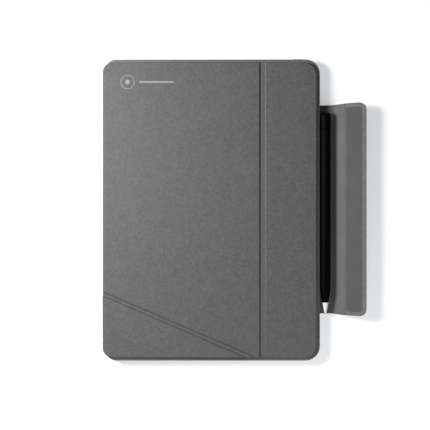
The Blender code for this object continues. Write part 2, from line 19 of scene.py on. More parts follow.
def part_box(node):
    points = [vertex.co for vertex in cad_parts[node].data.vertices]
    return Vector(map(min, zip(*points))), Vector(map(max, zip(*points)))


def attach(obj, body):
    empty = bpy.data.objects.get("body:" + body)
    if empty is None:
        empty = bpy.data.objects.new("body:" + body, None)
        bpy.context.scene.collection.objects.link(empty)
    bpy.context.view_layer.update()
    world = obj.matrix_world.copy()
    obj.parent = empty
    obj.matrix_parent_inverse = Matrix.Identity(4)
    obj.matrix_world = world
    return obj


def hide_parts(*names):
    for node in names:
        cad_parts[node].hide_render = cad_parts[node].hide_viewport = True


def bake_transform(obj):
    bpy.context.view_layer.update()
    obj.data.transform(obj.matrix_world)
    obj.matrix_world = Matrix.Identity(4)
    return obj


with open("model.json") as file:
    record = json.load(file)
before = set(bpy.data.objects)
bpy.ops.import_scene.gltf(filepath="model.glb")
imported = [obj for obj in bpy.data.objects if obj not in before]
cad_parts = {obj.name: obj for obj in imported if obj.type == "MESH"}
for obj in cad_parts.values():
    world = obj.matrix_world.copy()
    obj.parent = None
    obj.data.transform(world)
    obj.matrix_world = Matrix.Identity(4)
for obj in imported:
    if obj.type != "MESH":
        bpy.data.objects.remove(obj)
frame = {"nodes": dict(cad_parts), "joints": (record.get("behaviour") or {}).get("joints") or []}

LOG = logging.getLogger("folio_case")
MM = 0.001
TINY = 1e-6
ARC = 14
SHARP = math.radians(38)
WIDE_FACE = 30 * MM * MM
ROUND = 0.99
SIDEWAYS = Matrix(((0, 0, 1), (1, 0, 0), (0, 1, 0)))

Mesh = bmesh.types.BMesh
Edges = list[bmesh.types.BMEdge]
Where = Callable[[Vector], bool]
Shade = tuple[float, float, float]


class Affect(Enum):
    """What a rounding works on."""

    VERTICES = "VERTICES"
    EDGES = "EDGES"


class Slot(Enum):
    """The record's material slots."""

    LEATHER = "leather"
    MICROFIBRE = "microfibre"
    RUBBER = "rubber"
    FIBREBOARD = "fibreboard"
    STEEL = "steel"
    TRIM = "trim"
    BLACK_PLASTIC = "black_plastic"
    WHITE_PLASTIC = "white_plastic"


class Body(Enum):
    """The bodies that the case's joints move."""

    TRAY = "tray"
    SPINE = "spine"
    MAIN = "cover_main"
    STRIP = "cover_strip"
    CORNER = "cover_corner"
    SIDE = "flap_side"
    PAD = "flap_pad"
    STYLUS = "stylus"
    POWER = "power"
    VOLUME_UP = "volume_up"
    VOLUME_DOWN = "volume_down"


# ---------------------------------------------------------------- materials


class Signal:
    """A socket's output, or a number, that Python arithmetic works on."""

    def __init__(self, bench: "Bench", socket: bpy.types.NodeSocket) -> None:
        """Wrap one output socket of the bench's node tree."""
        self.bench = bench
        self.socket = socket

    def _math(self, operation: str, *values: "Signal | float") -> "Signal":
        """Add one Math node.

        Args:
            operation: The Math node's operation.
            values: Its inputs in order.

        Returns:
            The node's result.
        """
        inputs = dict(enumerate(values))
        return self.bench.add("ShaderNodeMath", {"operation": operation}, inputs)

    def __add__(self, other: "Signal | float") -> "Signal":
        """Return self + other."""
        return self._math("ADD", self, other)

    __radd__ = __add__

    def __mul__(self, other: "Signal | float") -> "Signal":
        """Return self * other."""
        return self._math("MULTIPLY", self, other)

    __rmul__ = __mul__

    def __sub__(self, other: "Signal | float") -> "Signal":
        """Return self - other."""
        return self._math("SUBTRACT", self, other)

    def __rsub__(self, other: "Signal | float") -> "Signal":
        """Return other - self."""
        return self._math("SUBTRACT", other, self)


class Bench:
    """One material's node tree and the ways to add to it."""

    def __init__(self, name: str) -> None:
        """Start an empty material.

        Args:
            name: The material's name.
        """
        self.material = bpy.data.materials.new(name)
        self.material.use_nodes = True
        self.tree = self.material.node_tree
        self.tree.nodes.clear()
        self.place = self.add("ShaderNodeTexCoord", {}, {}, "Object")

    def node(
        self, kind: str, settings: dict[str, object], inputs: dict[str | int, object]
    ) -> bpy.types.Node:
        """Add a node, its settings first and then its inputs.

        Args:
            kind: The node's type.
            settings: Its own properties; "stops" gives a ramp's stops.
            inputs: Values or signals by socket name or number.

        Returns:
            The new node.
        """
        made = self.tree.nodes.new(kind)
        for key, value in settings.items():
            if key == "stops":
                ramp = made.color_ramp
                while len(ramp.elements) < len(value):
                    ramp.elements.new(0.5)
                for element, (position, shade) in zip(ramp.elements, value):
                    element.position = position
                    element.color = (shade, shade, shade, 1.0)
            else:
                setattr(made, key, value)
        for key, value in inputs.items():
            if isinstance(value, Signal):
                self.tree.links.new(value.socket, made.inputs[key])
            else:
                made.inputs[key].default_value = value
        return made

    def add(
        self,
        kind: str,
        settings: dict[str, object],
        inputs: dict[str | int, object],
        output: str | int = 0,
    ) -> Signal:
        """Add a node and return one of its outputs as a signal."""
        return Signal(self, self.node(kind, settings, inputs).outputs[output])

    def noise(self, size: float, detail: float = 2.0, rough: float = 0.5) -> Signal:
        """Return noise from 0 to 1 whose features are about size metres wide."""
        inputs = {"Vector": self.place, "Scale": 1 / size, "Detail": detail}
        return self.add("ShaderNodeTexNoise", {}, {**inputs, "Roughness": rough})

    def cells(self, size: float, edges: bool = False) -> Signal:
        """Return the distance to cell centres, or to the lines between cells.

        Args:
            size: How wide a cell is, in metres.
            edges: Whether the lines between cells are measured from.

        Returns:
            The distance as a signal.
        """
        feature = "DISTANCE_TO_EDGE" if edges else "F1"
        inputs = {"Vector": self.place, "Scale": 1 / size}
        kind = "ShaderNodeTexVoronoi"
        return self.add(kind, {"feature": feature}, inputs, "Distance")

    def ramp(self, value: Signal, stops: Sequence[tuple[float, float]]) -> Signal:
        """Return value sent through a smooth ramp of grey stops."""
        return self.add("ShaderNodeValToRGB", {"stops": stops}, {"Fac": value})

    def tint(self, share: Signal, low: Shade, high: Shade) -> Signal:
        """Return a colour that goes from low to high as share goes from 0 to 1."""
        inputs = {0: share, 6: (*low, 1.0), 7: (*high, 1.0)}
        return self.add("ShaderNodeMix", {"data_type": "RGBA"}, inputs, 2)

    def bump(self, height: Signal, distance: float, strength: float) -> Signal:
        """Return a normal from a height that spans distance metres."""
        inputs = {"Strength": strength, "Distance": distance, "Height": height}
        return self.add("ShaderNodeBump", {}, inputs)

    def surface(self, **inputs: object) -> bpy.types.Material:
        """Finish the material with a principled shader.

        Args:
            inputs: Values or signals, with "_" for a space in a socket's name.

        Returns:
            The finished material.
        """
        named = {key.replace("_", " "): value for key, value in inputs.items()}
        shader = self.add("ShaderNodeBsdfPrincipled", {}, named)
        self.node("ShaderNodeOutputMaterial", {}, {"Surface": shader})
        return self.material


def grey(value: float, warmth: float = 0.0) -> Shade:
    """Return a grey of some linear brightness, a little warmer if asked."""
    return (value * (1 + warmth), value, value * (1 - warmth))


@dataclass(frozen=True)
class Leather:
    """Fine-grained coated leather."""

    name: str = "grained_leather"
    shade: float = 0.088
    grain: float = 0.75 * MM
    depth: float = 0.12 * MM
    roughness: float = 0.58

    def make(self) -> bpy.types.Material:
        """Return the leather's material.

        Returns:
            The finished material.
        """
        bench = Bench(self.name)
        pores = bench.ramp(bench.cells(self.grain, edges=True), [(0, 0), (0.3, 1)])
        pebbles = bench.cells(self.grain * 2.3)
        cloud = bench.noise(9 * MM, 3)
        mottle = bench.ramp(bench.noise(1.9 * MM, 4, 0.6), [(0.32, 0), (0.68, 1)])
        height = pores * 0.45 + (1 - pebbles) * 0.35 + mottle * 0.9
        share = cloud * 0.3 + mottle * 0.5 + pores * 0.2
        return bench.surface(
            Base_Color=bench.tint(share, grey(self.shade * 0.68), grey(self.shade * 1.32)),
            Roughness=self.roughness + mottle * 0.12 - pores * 0.05,
            Specular_IOR_Level=0.35,
            Normal=bench.bump(height, self.depth, 0.8),
        )


@dataclass(frozen=True)
class Microfibre:
    """Short-napped lining cloth."""

    name: str = "microfibre_lining"
    shade: float = 0.12
    nap: float = 0.22 * MM

    def make(self) -> bpy.types.Material:
        """Return the lining's material.

        Returns:
            The finished material.
        """
        bench = Bench(self.name)
        fibres = bench.noise(self.nap, 4, 0.7)
        brushed = bench.noise(14 * MM, 2)
        share = fibres * 0.55 + brushed * 0.45
        return bench.surface(
            Base_Color=bench.tint(share, grey(self.shade * 0.72), grey(self.shade * 1.25)),
            Roughness=0.86 + fibres * 0.12,
            Sheen_Weight=0.25,
            Sheen_Roughness=0.5,
            Specular_IOR_Level=0.2,
            Normal=bench.bump(fibres, 0.08 * MM, 0.6),
        )


@dataclass(frozen=True)
class Rubber:
    """Matt moulded rubber with a fine spark texture."""

    name: str = "moulded_rubber"
    shade: float = 0.12
    roughness: float = 0.52

    def make(self) -> bpy.types.Material:
        """Return the rubber's material.

        Returns:
            The finished material.
        """
        bench = Bench(self.name)
        spark = bench.noise(0.3 * MM, 3, 0.6)
        flow = bench.noise(25 * MM, 2)
        share = spark * 0.4 + flow * 0.6
        return bench.surface(
            Base_Color=bench.tint(share, grey(self.shade * 0.85), grey(self.shade * 1.15)),
            Roughness=self.roughness + spark * 0.12,
            Specular_IOR_Level=0.4,
            Normal=bench.bump(spark, 0.03 * MM, 0.5),
        )


@dataclass(frozen=True)
class Fibreboard:
    """Pressed grey board with flecks."""

    name: str = "pressed_fibreboard"
    shade: float = 0.24

    def make(self) -> bpy.types.Material:
        """Return the board's material.

        Returns:
            The finished material.
        """
        bench = Bench(self.name)
        flecks = bench.cells(0.9 * MM)
        pulp = bench.noise(3 * MM, 5, 0.65)
        share = flecks * 0.4 + pulp * 0.7
        return bench.surface(
            Base_Color=bench.tint(share, grey(self.shade * 0.6, 0.06), grey(self.shade, 0.04)),
            Roughness=0.8 + pulp * 0.15,
            Normal=bench.bump(pulp, 0.06 * MM, 0.6),
        )


@dataclass(frozen=True)
class Metal:
    """Rolled metal with fine lines along the case."""

    name: str = "rolled_steel"
    shade: float = 0.5
    roughness: float = 0.32
    stretch: tuple[float, float, float] = (9, 0.6, 9)
    line_scale: float = 900.0

    def make(self) -> bpy.types.Material:
        """Return the metal's material.

        Returns:
            The finished material.
        """
        bench = Bench(self.name)
        inputs = {"Vector": bench.place, "Scale": self.stretch}
        stretched = bench.add("ShaderNodeMapping", {}, inputs)
        inputs = {"Vector": stretched, "Scale": self.line_scale, "Detail": 3.0}
        lines = bench.add("ShaderNodeTexNoise", {}, inputs)
        stain = bench.noise(6 * MM, 3)
        return bench.surface(
            Base_Color=bench.tint(stain, grey(self.shade * 0.85), grey(self.shade)),
            Metallic=1.0,
            Roughness=self.roughness + lines * 0.12 + stain * 0.05,
            Normal=bench.bump(lines, 0.01 * MM, 0.4),
        )


@dataclass(frozen=True)
class Plastic:
    """Smooth moulded plastic with a trace of handling."""

    name: str
    shade: float
    roughness: float
    specular: float = 0.5

    def make(self) -> bpy.types.Material:
        """Return the plastic's material.

        Returns:
            The finished material.
        """
        bench = Bench(self.name)
        smear = bench.noise(11 * MM, 4, 0.6)
        peel = bench.noise(1.6 * MM, 1)
        return bench.surface(
            Base_Color=bench.tint(smear, grey(self.shade * 0.9), grey(self.shade * 1.1)),
            Roughness=self.roughness + smear * 0.1,
            Specular_IOR_Level=self.specular,
            Normal=bench.bump(peel, 0.01 * MM, 0.3),
        )


@dataclass(frozen=True)
class Foil:
    """Pale foil pressed into the leather, a little worn."""

    name: str = "pressed_foil"
    shade: float = 0.3

    def make(self) -> bpy.types.Material:
        """Return the foil's material.

        Returns:
            The finished material.
        """
        bench = Bench(self.name)
        wear = bench.ramp(bench.noise(0.7 * MM, 3, 0.7), [(0.35, 0), (0.6, 1)])
        return bench.surface(
            Base_Color=bench.tint(wear, grey(self.shade * 0.7), grey(self.shade)),
            Roughness=0.5 - wear * 0.12,
            Metallic=0.15,
            Normal=bench.bump(bench.cells(0.75 * MM, edges=True), 0.02 * MM, 0.5),
        )


@dataclass(frozen=True)
class PaleFloor:
    """Plain studio floor with a trace of unevenness."""

    name: str = "pale_floor"
    shade: float = 0.82

    def make(self) -> bpy.types.Material:
        """Return the floor's material.

        Returns:
            The finished material.
        """
        bench = Bench(self.name)
        cloud = bench.noise(0.5, 2)
        return bench.surface(
            Base_Color=bench.tint(cloud, grey(self.shade * 0.985), grey(self.shade)),
            Roughness=0.8,
            Specular_IOR_Level=0.2,
            Emission_Color=(0.96, 0.98, 1.0, 1.0),
            Emission_Strength=0.4,
        )


class Wardrobe:
    """Makes each finish once and hands it out."""

    def __init__(self) -> None:
        """Start with no materials made."""
        self.finishes: dict[Slot, object] = {
            Slot.LEATHER: Leather(),
            Slot.MICROFIBRE: Microfibre(),
            Slot.RUBBER: Rubber(),
            Slot.FIBREBOARD: Fibreboard(),
            Slot.STEEL: Metal(),
            Slot.TRIM: Metal("anodised_trim", 0.06, 0.36),
            Slot.BLACK_PLASTIC: Plastic("black_plastic", 0.001, 0.5, 0.04),
            Slot.WHITE_PLASTIC: Plastic("white_plastic", 0.8, 0.34),
        }
        self.made: dict[object, bpy.types.Material] = {}

    def finish(self, finish: object) -> bpy.types.Material:
        """Return the material of a finish or of a slot's finish.

        Args:
            finish: A finish, or a slot that has one.

        Returns:
            The material, made once.
        """
        finish = self.finishes[finish] if isinstance(finish, Slot) else finish
        if finish not in self.made:
            self.made[finish] = finish.make()
        return self.made[finish]


WARDROBE = Wardrobe()


# ------------------------------------------------------------------- shapes


@dataclass(frozen=True)
class Corner:
    """A corner of a flat outline and the radius that rounds it."""

    x: float
    y: float
    radius: float = 0.0


def block(
    left: float, right: float, foot: float, top: float, *radii: float
) -> list[Corner]:
    """Return a rectangle's corners, anticlockwise from the lower left.

    Args:
        left: Lowest x.
        right: Highest x.
        foot: Lowest y.
        top: Highest y.
        radii: The corners' radii in the same order; one or none is enough.

    Returns:
        The four corners.
    """
    radii = radii if len(radii) == 4 else (radii or (0.0,)) * 4
    places = [(left, foot), (right, foot), (right, top), (left, top)]
    return [Corner(x, y, r) for (x, y), r in zip(places, radii)]


def outline(low: Vector, high: Vector, grow: float, *radii: float) -> list[Corner]:
    """Return a box's outline from above, grown by grow, with rounded corners."""
    return block(low.x - grow, high.x + grow, low.y - grow, high.y + grow, *radii)


def bevel(
    mesh: Mesh, geom: Sequence[object], offset: float, affect: Affect, segments: int
) -> None:
    """Round some vertices or edges of a mesh.

    Args:
        mesh: The mesh that changes.
        geom: The vertices or edges.
        offset: How far the rounding reaches.
        affect: Which of the two they are.
        segments: The rounding's steps.
    """
    bmesh.ops.bevel(
        mesh,
        geom=geom,
        offset=offset,
        offset_type="OFFSET",
        affect=affect.value,
        segments=segments,
        profile=0.5,
        material=-1,
        clamp_overlap=False,
    )


def draw(mesh: Mesh, corners: Sequence[Corner], z: float) -> None:
    """Add a level face with rounded corners.

    Args:
        mesh: The mesh that gets the face.
        corners: The outline, anticlockwise.
        z: The face's height.
    """
    verts = [mesh.verts.new((c.x, c.y, z)) for c in corners]
    mesh.faces.new(verts)
    count = len(corners)
    for i, (vert, corner) in enumerate(zip(verts, corners)):
        if not corner.radius:
            continue
        here = Vector((corner.x, corner.y))
        before, after = corners[i - 1], corners[(i + 1) % count]
        arms = [Vector((c.x, c.y)) - here for c in (before, after)]
        reach = corner.radius / math.tan(arms[0].angle(arms[1]) / 2)
        bevel(mesh, [vert], reach, Affect.VERTICES, ARC)


def verts_of(geometry: Sequence[object]) -> list[bmesh.types.BMVert]:
    """Return the vertices among an operator's results."""
    return [g for g in geometry if isinstance(g, bmesh.types.BMVert)]


def whole(mesh: Mesh) -> list[object]:
    """Return every vertex, edge and face of a mesh."""
    return [*mesh.verts, *mesh.edges, *mesh.faces]


def thicken(mesh: Mesh, step: Sequence[float]) -> None:
    """Sweep a mesh's flat faces along a step into a closed solid.

    Args:
        mesh: The mesh that changes.
        step: How far the faces are swept, and which way.
    """
    far = bmesh.ops.extrude_face_region(mesh, geom=mesh.faces[:], use_keep_orig=True)
    bmesh.ops.translate(mesh, verts=verts_of(far["geom"]), vec=step)
    bmesh.ops.recalc_face_normals(mesh, faces=mesh.faces[:])


def plate(
    corners: Sequence[Corner], low: float, high: float, inset: float = 0.0
) -> Mesh:
    """Return a level plate with a rounded outline.

    Args:
        corners: The outline, anticlockwise.
        low: The underside's height.
        high: The top's height.
        inset: How far the plate stays inside the outline.

    Returns:
        The closed mesh.
    """
    mesh = bmesh.new()
    draw(mesh, corners, low)
    mesh.faces.ensure_lookup_table()
    if inset:
        ring = bmesh.ops.inset_region(
            mesh,
            faces=mesh.faces[:],
            thickness=inset,
            use_even_offset=True,
            use_boundary=True,
        )["faces"]
        bmesh.ops.delete(mesh, geom=ring, context="FACES")
    thicken(mesh, (0, 0, high - low))
    return mesh


def middle(edge: bmesh.types.BMEdge) -> Vector:
    """Return the middle of an edge."""
    return (edge.verts[0].co + edge.verts[1].co) / 2


def soften(mesh: Mesh, radius: float, where: Where, segments: int = 4) -> None:
    """Round the sharp edges whose middle is at some place.

    Args:
        mesh: The mesh that changes.
        radius: The rounding's radius.
        where: Says whether an edge with that middle is rounded.
        segments: The rounding's steps.
    """
    firm = [e for e in mesh.edges if len(e.link_faces) == 2]
    edges = [e for e in firm if e.calc_face_angle(0.0) > SHARP and where(middle(e))]
    bevel(mesh, edges, radius, Affect.EDGES, segments)


def at_height(z: float, where: Where | None = None) -> Where:
    """Return a test for places at one height and, if given, where another holds."""
    return lambda p: abs(p.z - z) < TINY and (where is None or where(p))


def at_y(y: float) -> Where:
    """Return a test for places at one y."""
    return lambda p: abs(p.y - y) < TINY


def slice_off(mesh: Mesh, point: Sequence[float], away: Sequence[float]) -> None:
    """Cut a mesh by a plane, drop the part on the side of away, and close it.

    Args:
        mesh: The mesh that changes.
        point: A point of the plane.
        away: The plane's normal, on the side that goes.
    """
    cut = bmesh.ops.bisect_plane(
        mesh, geom=whole(mesh), plane_co=point, plane_no=away, clear_outer=True
    )["geom_cut"]
    edges = [g for g in cut if isinstance(g, bmesh.types.BMEdge)]
    bmesh.ops.edgeloop_fill(mesh, edges=edges)


def score(mesh: Mesh, left: float, right: float, count: int) -> None:
    """Split a mesh between two values of x into count slices that can bend.

    Args:
        mesh: The mesh that changes.
        left: Where the first slice starts.
        right: Where the last slice ends.
        count: How many slices there are.
    """
    for i in range(1, count):
        cut = (left + (right - left) * i / count, 0, 0)
        bmesh.ops.bisect_plane(mesh, geom=whole(mesh), plane_co=cut, plane_no=(1, 0, 0))


def section(points: Sequence[tuple[float, float]], start: float, end: float) -> Mesh:
    """Return a bar along Y whose section is a polygon in X and Z.

    Args:
        points: The section's corners as x and z.
        start: The bar's lowest y.
        end: The bar's highest y.

    Returns:
        The closed mesh.
    """
    mesh = bmesh.new()
    mesh.faces.new([mesh.verts.new((x, start, z)) for x, z in points])
    thicken(mesh, (0, end - start, 0))
    return mesh


def upright(
    left: float, right: float, low: float, high: float
) -> list[tuple[float, float]]:
    """Return a rectangular section's corners as x and z."""
    return [(left, low), (right, low), (right, high), (left, high)]


def elbow(
    outer: float, inner: float, tip: float, start: float, inside: float, outside: float
) -> list[tuple[float, float]]:
    """Return an L-shaped section: a leg up or down the case, then one along X.

    Args:
        outer: The first leg's x on the outside of the bend.
        inner: Its x on the inside.
        tip: The x where the second leg ends.
        start: The z where the first leg starts.
        inside: The second leg's z on the inside of the bend.
        outside: Its z on the outside.

    Returns:
        The section's corners as x and z.
    """
    first = [(outer, start), (inner, start), (inner, inside)]
    return [*first, (tip, inside), (tip, outside), (outer, outside)]


def nowhere(_: Vector) -> bool:
    """Say that no edge is meant."""
    return False


def near(x: float, z: float) -> Where:
    """Return a test for places at some x and z."""
    return lambda p: abs(p.x - x) < TINY and abs(p.z - z) < TINY


def joined(parts: Sequence[Mesh]) -> Mesh:
    """Return one mesh that holds several.

    Args:
        parts: The meshes, which are freed.

    Returns:
        The mesh that holds them all.
    """
    held = bpy.data.meshes.new("held")
    whole_mesh = bmesh.new()
    for part in parts:
        part.to_mesh(held)
        whole_mesh.from_mesh(held)
        part.free()
    bpy.data.meshes.remove(held)
    return whole_mesh


def to_object(mesh: Mesh, name: str) -> bpy.types.Object:
    """Turn a finished mesh into an object of the scene, smooth but for its edges.

    Args:
        mesh: The mesh, which is freed.
        name: The object's name.

    Returns:
        The new object.
    """
    bmesh.ops.remove_doubles(mesh, verts=mesh.verts[:], dist=TINY)
    bmesh.ops.dissolve_degenerate(mesh, dist=TINY, edges=mesh.edges[:])
    for face in mesh.faces:
        face.smooth = face.calc_area() < WIDE_FACE
    for edge in mesh.edges:
        edge.smooth = len(edge.link_faces) == 2 and edge.calc_face_angle(0) < SHARP
    data = bpy.data.meshes.new(name)
    mesh.to_mesh(data)
    mesh.free()
    made = bpy.data.objects.new(name, data)
    bpy.context.scene.collection.objects.link(made)
    return made


def carve(made: bpy.types.Object, shape: Mesh) -> None:
    """Cut a mesh's shape out of an object.

    Args:
        made: The object that is cut.
        shape: The mesh that is taken out of it.
    """
    cutter = to_object(shape, "cutter")
    change = made.modifiers.new("carve", "BOOLEAN")
    change.operation, change.solver, change.object = "DIFFERENCE", "EXACT", cutter
    settle(made)
    old = cutter.data
    bpy.data.objects.remove(cutter)
    bpy.data.meshes.remove(old)


def settle(made: bpy.types.Object) -> None:
    """Apply an object's modifiers to its mesh.

    Args:
        made: The object whose modifiers become its mesh.
    """
    depsgraph = bpy.context.evaluated_depsgraph_get()
    old = made.data
    made.data = bpy.data.meshes.new_from_object(made.evaluated_get(depsgraph))
    made.modifiers.clear()
    bpy.data.meshes.remove(old)
    made.data.name = made.name


def weigh(made: bpy.types.Object) -> None:
    """Keep wide flat faces evenly shaded beside small roundings."""
    change = made.modifiers.new("even_shading", "WEIGHTED_NORMAL")
    change.keep_sharp = True


def dress(made: bpy.types.Object, slot: Slot, finish: object | None = None) -> None:
    """Give a piece its material: its slot's finish, or another finish.

    Args:
        made: The piece.
        slot: The slot it takes its finish from.
        finish: Another finish than the slot's own.
    """
    made.data.materials.clear()
    made.data.materials.append(WARDROBE.finish(finish or slot))


def place(
    mesh: Mesh | bpy.types.Object,
    name: str,
    slot: Slot,
    body: Body,
    nodes: Sequence[str] = (),
    finish: object | None = None,
    bend: tuple[Body, Sequence[float], Sequence[float]] | None = None,
) -> bpy.types.Object:
    """Finish one piece: dress it, hide the CAD nodes it stands for, hang it on its body unless a
    bend is given, and log it.

    Args:
        mesh: The piece's mesh, or its object if it already has one.
        name: The piece's name.
        slot: The material slot it takes its finish from.
        body: The body it moves with; with a bend it is only logged.
        nodes: The CAD nodes it stands for.
        finish: Another finish than the slot's own.
        bend: The body it would bend to, and where that bend would start and end; only whether it
            is given is read, and a given bend leaves the piece fixed in place on no body.

    Returns:
        The piece.
    """
    made = to_object(mesh, name) if isinstance(mesh, Mesh) else mesh
    weigh(made)
    dress(made, slot, finish)
    if bend:
        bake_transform(made)
    else:
        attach(made, body.value)
    if nodes:
        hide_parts(*nodes)
    LOG.info("%s: %d faces on %s", name, len(made.data.polygons), body.value)
    return made


def dress_cad(slot: Slot, *nodes: str) -> None:
    """Give CAD nodes that stay in sight the material of their slot.

    Args:
        slot: The slot they take their finish from.
        nodes: The CAD nodes' names.
    """
    for node in nodes:
        dress(frame["nodes"][node], slot)
        LOG.info("%s: dressed as %s", node, slot.value)


def joint_place(name: str) -> tuple[Vector, Vector]:
    """Return a joint's point and axis.

    Args:
        name: The joint's name.

    Returns:
        A point of its axis, and the direction of its axis.
    """
    found = next(j for j in frame["joints"] if j["name"] == name)
    return Vector(found["pos_m"]), Vector(found["axis"])


# --------------------------------------------------------------- the pieces


@dataclass
class Envelope:
    """Heights and edges that several sub-assemblies share."""

    left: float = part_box("spine_skin")[0].x
    right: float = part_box("tray_shell")[1].x
    end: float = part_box("tray_shell")[1].y
    fold_x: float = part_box("spine_skin")[0].x + 1.8 * MM
    ear: float = 110.5 * MM
    spine_end: float = 112.5 * MM
    spine_top: float = 9.9 * MM
    spine_foot: float = 1.9 * MM
    spine_inner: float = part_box("spine_skin")[1].x
    hem: float = 1.0 * MM
    shoulder: float = 1.5 * MM


@dataclass
class CreaseLine:
    """The slanting fold line of the cover, and lines parallel to it."""

    point: Vector = field(default_factory=lambda: joint_place("corner_fold")[0])
    along: Vector = field(default_factory=lambda: joint_place("corner_fold")[1])

    @property
    def across(self) -> Vector:
        """Return the direction from the main panel to the corner panel."""
        return Vector((-self.along.y, self.along.x, 0)).normalized()

    def shifted(self, offset: float) -> Vector:
        """Return a point of the line that lies offset towards the corner panel."""
        return self.point + self.across * offset

    def y_at(self, x: float, offset: float) -> float:
        """Return where a shifted line crosses some x."""
        start = self.shifted(offset)
        return start.y + (x - start.x) * self.along.y / self.along.x

    def x_at(self, y: float, offset: float) -> float:
        """Return where a shifted line crosses some y."""
        start = self.shifted(offset)
        return start.x + (y - start.y) * self.along.x / self.along.y


@dataclass
class TrayBack:
    """The moulded tray that holds the tablet, its leather back and buttons."""

    env: Envelope
    corner_left: float = 9.6 * MM
    corner_right: float = 12.2 * MM
    corner_back: float = 12.2 * MM
    lip: float = 0.7 * MM
    lip_reach: float = 1.0 * MM
    floor: float = 1.2 * MM
    bay_radius: float = 11.65 * MM
    lining_radius: float = 11.35 * MM
    window_radius: float = 5.0 * MM
    camera_radius: float = 7.0 * MM
    gap: float = 0.3 * MM
    trim_wall: float = 1.2 * MM
    opening_z: float = 5.925 * MM
    speaker: tuple[float, float, float] = (51 * MM, 11 * MM, 1.3 * MM)
    port: tuple[float, float] = (6.5 * MM, 2.5 * MM)
    microphone: float = 0.9 * MM
    top_round: float = 1.0 * MM
    foot_round: float = 0.3 * MM
    back_round: float = 0.55 * MM
    fold_round: float = 0.9 * MM
    fold_inner_round: float = 0.4 * MM
    key_round: float = 0.35 * MM
    lining_round: float = 0.15 * MM
    trim_outer_round: float = 0.3 * MM
    trim_inner_round: float = 0.2 * MM
    tongue: tuple[float, float] = (
        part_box("tongue_lining")[0].y,
        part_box("tongue_lining")[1].y,
    )

    def build(self) -> None:
        """Build and place every piece of the tray."""
        self.build_tray()
        self.build_back()
        self.build_lining()
        self.build_trim()
        self.build_buttons()
        dress_cad(Slot.FIBREBOARD, "back_board")

    def ring(self, mesh: Mesh, corners: list[Corner], z: float) -> Edges:
        """Add a closed loop of edges and return it.

        Args:
            mesh: The mesh that gets the loop.
            corners: The outline, anticlockwise.
            z: The loop's height.

        Returns:
            The loop's edges.
        """
        before = set(mesh.edges)
        draw(mesh, corners, z)
        edges = [e for e in mesh.edges if e not in before]
        faces = list({f for e in edges for f in e.link_faces})
        bmesh.ops.delete(mesh, geom=faces, context="FACES_ONLY")
        return edges

    def loft(self, loops: Sequence[tuple[list[Corner], float]]) -> Mesh:
        """Return a closed ring of material through several loops.

        Args:
            loops: Outlines and their heights, in order round the section.

        Returns:
            The closed mesh.
        """
        mesh = bmesh.new()
        rings = [self.ring(mesh, corners, z) for corners, z in loops]
        for one, other in zip(rings, rings[1:] + rings[:1]):
            bmesh.ops.bridge_loops(mesh, edges=one + other)
        bmesh.ops.recalc_face_normals(mesh, faces=mesh.faces[:])
        return mesh

    def build_tray(self) -> None:
        """Hollow the tray out of a rounded block, and cut its openings."""
        low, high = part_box("tray_shell")
        gap = self.gap
        lining_low, lining_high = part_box("back_lining")
        left, right = lining_low.x - gap, lining_high.x + gap
        end = lining_high.y + gap
        board_low, board_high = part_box("back_board")
        near_spine, near_flap = self.corner_left, self.corner_right
        outer = outline(low, high, 0.0, near_spine, near_flap, near_flap, near_spine)
        reach = self.lip_reach
        inner_radius = self.bay_radius - reach
        lip = block(left + reach, right - reach, -end + reach, end - reach, inner_radius)
        bay = block(left, right, -end, end, self.bay_radius)
        window = outline(board_low, board_high, gap, self.window_radius)
        top, under = high.z, high.z - self.lip
        floor, over = low.z + self.floor, 1 * MM
        mesh = plate(outer, low.z, top)
        soften(mesh, self.top_round, at_height(top), 6)
        soften(mesh, self.foot_round, at_height(low.z), 2)
        tray = to_object(mesh, "tray")
        hollows = [
            plate(bay, floor, under),
            plate(lip, under - over, top + over),
            plate(window, low.z - over, floor + over),
            joined(self.cutters()),
        ]
        for hollow in hollows:
            carve(tray, hollow)
        place(tray, "tray", Slot.RUBBER, Body.TRAY, ["tray_shell"])

    def cutters(self) -> list[Mesh]:
        """Return the shapes of the camera hole, slots, port and button windows.

        Returns:
            One closed mesh for each opening.
        """
        made = [self.camera_hole()]
        along, *speaker = self.speaker
        slots = [(x, s, *speaker) for x in (-along, along) for s in (-1, 1)]
        slots += [(0.0, -1, *self.port), (0.0, 1, self.microphone, self.microphone)]
        low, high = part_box("power_button")
        half = (high - low) / 2 + Vector((1, 1, 1)) * self.gap
        slots.append(((low.x + high.x) / 2, 1, half.x, half.z))
        depth = 9 * MM
        for x, side, half_x, half_z in slots:
            turn = Matrix.Rotation(math.pi / 2, 4, "X")
            shift = (0, side * (self.env.end - 1 * MM) + depth / 2, 0)
            made.append(self.long_hole(x, half_x, half_z, (0, depth), turn, shift))
        for node in ("volume_up_button", "volume_down_button"):
            low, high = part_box(node)
            y, half = (low.y + high.y) / 2, (high - low) / 2
            half_y, half_z = half.y + self.gap, half.z + self.gap
            turn, shift = SIDEWAYS.to_4x4(), (self.env.right, 0, 0)
            depth = (-4 * MM, 4 * MM)
            made.append(self.long_hole(y, half_y, half_z, depth, turn, shift))
        return made

    def long_hole(
        self,
        along: float,
        half: float,
        half_z: float,
        depth: tuple[float, float],
        turn: Matrix,
        shift: Sequence[float],
    ) -> Mesh:
        """Return the shape that cuts one long hole with round ends.

        Args:
            along: The hole's middle along the wall.
            half: Half its length.
            half_z: Half its height.
            depth: Where it starts and ends across the wall, before the shift.
            turn: Turns it from level to across the wall.
            shift: Moves it to the wall.

        Returns:
            The closed mesh.
        """
        mid = self.opening_z
        corners = block(
            along - half, along + half, mid - half_z, mid + half_z, half_z * ROUND
        )
        shape = plate(corners, *depth)
        bmesh.ops.transform(shape, matrix=turn, verts=shape.verts)
        bmesh.ops.translate(shape, verts=shape.verts, vec=shift)
        return shape

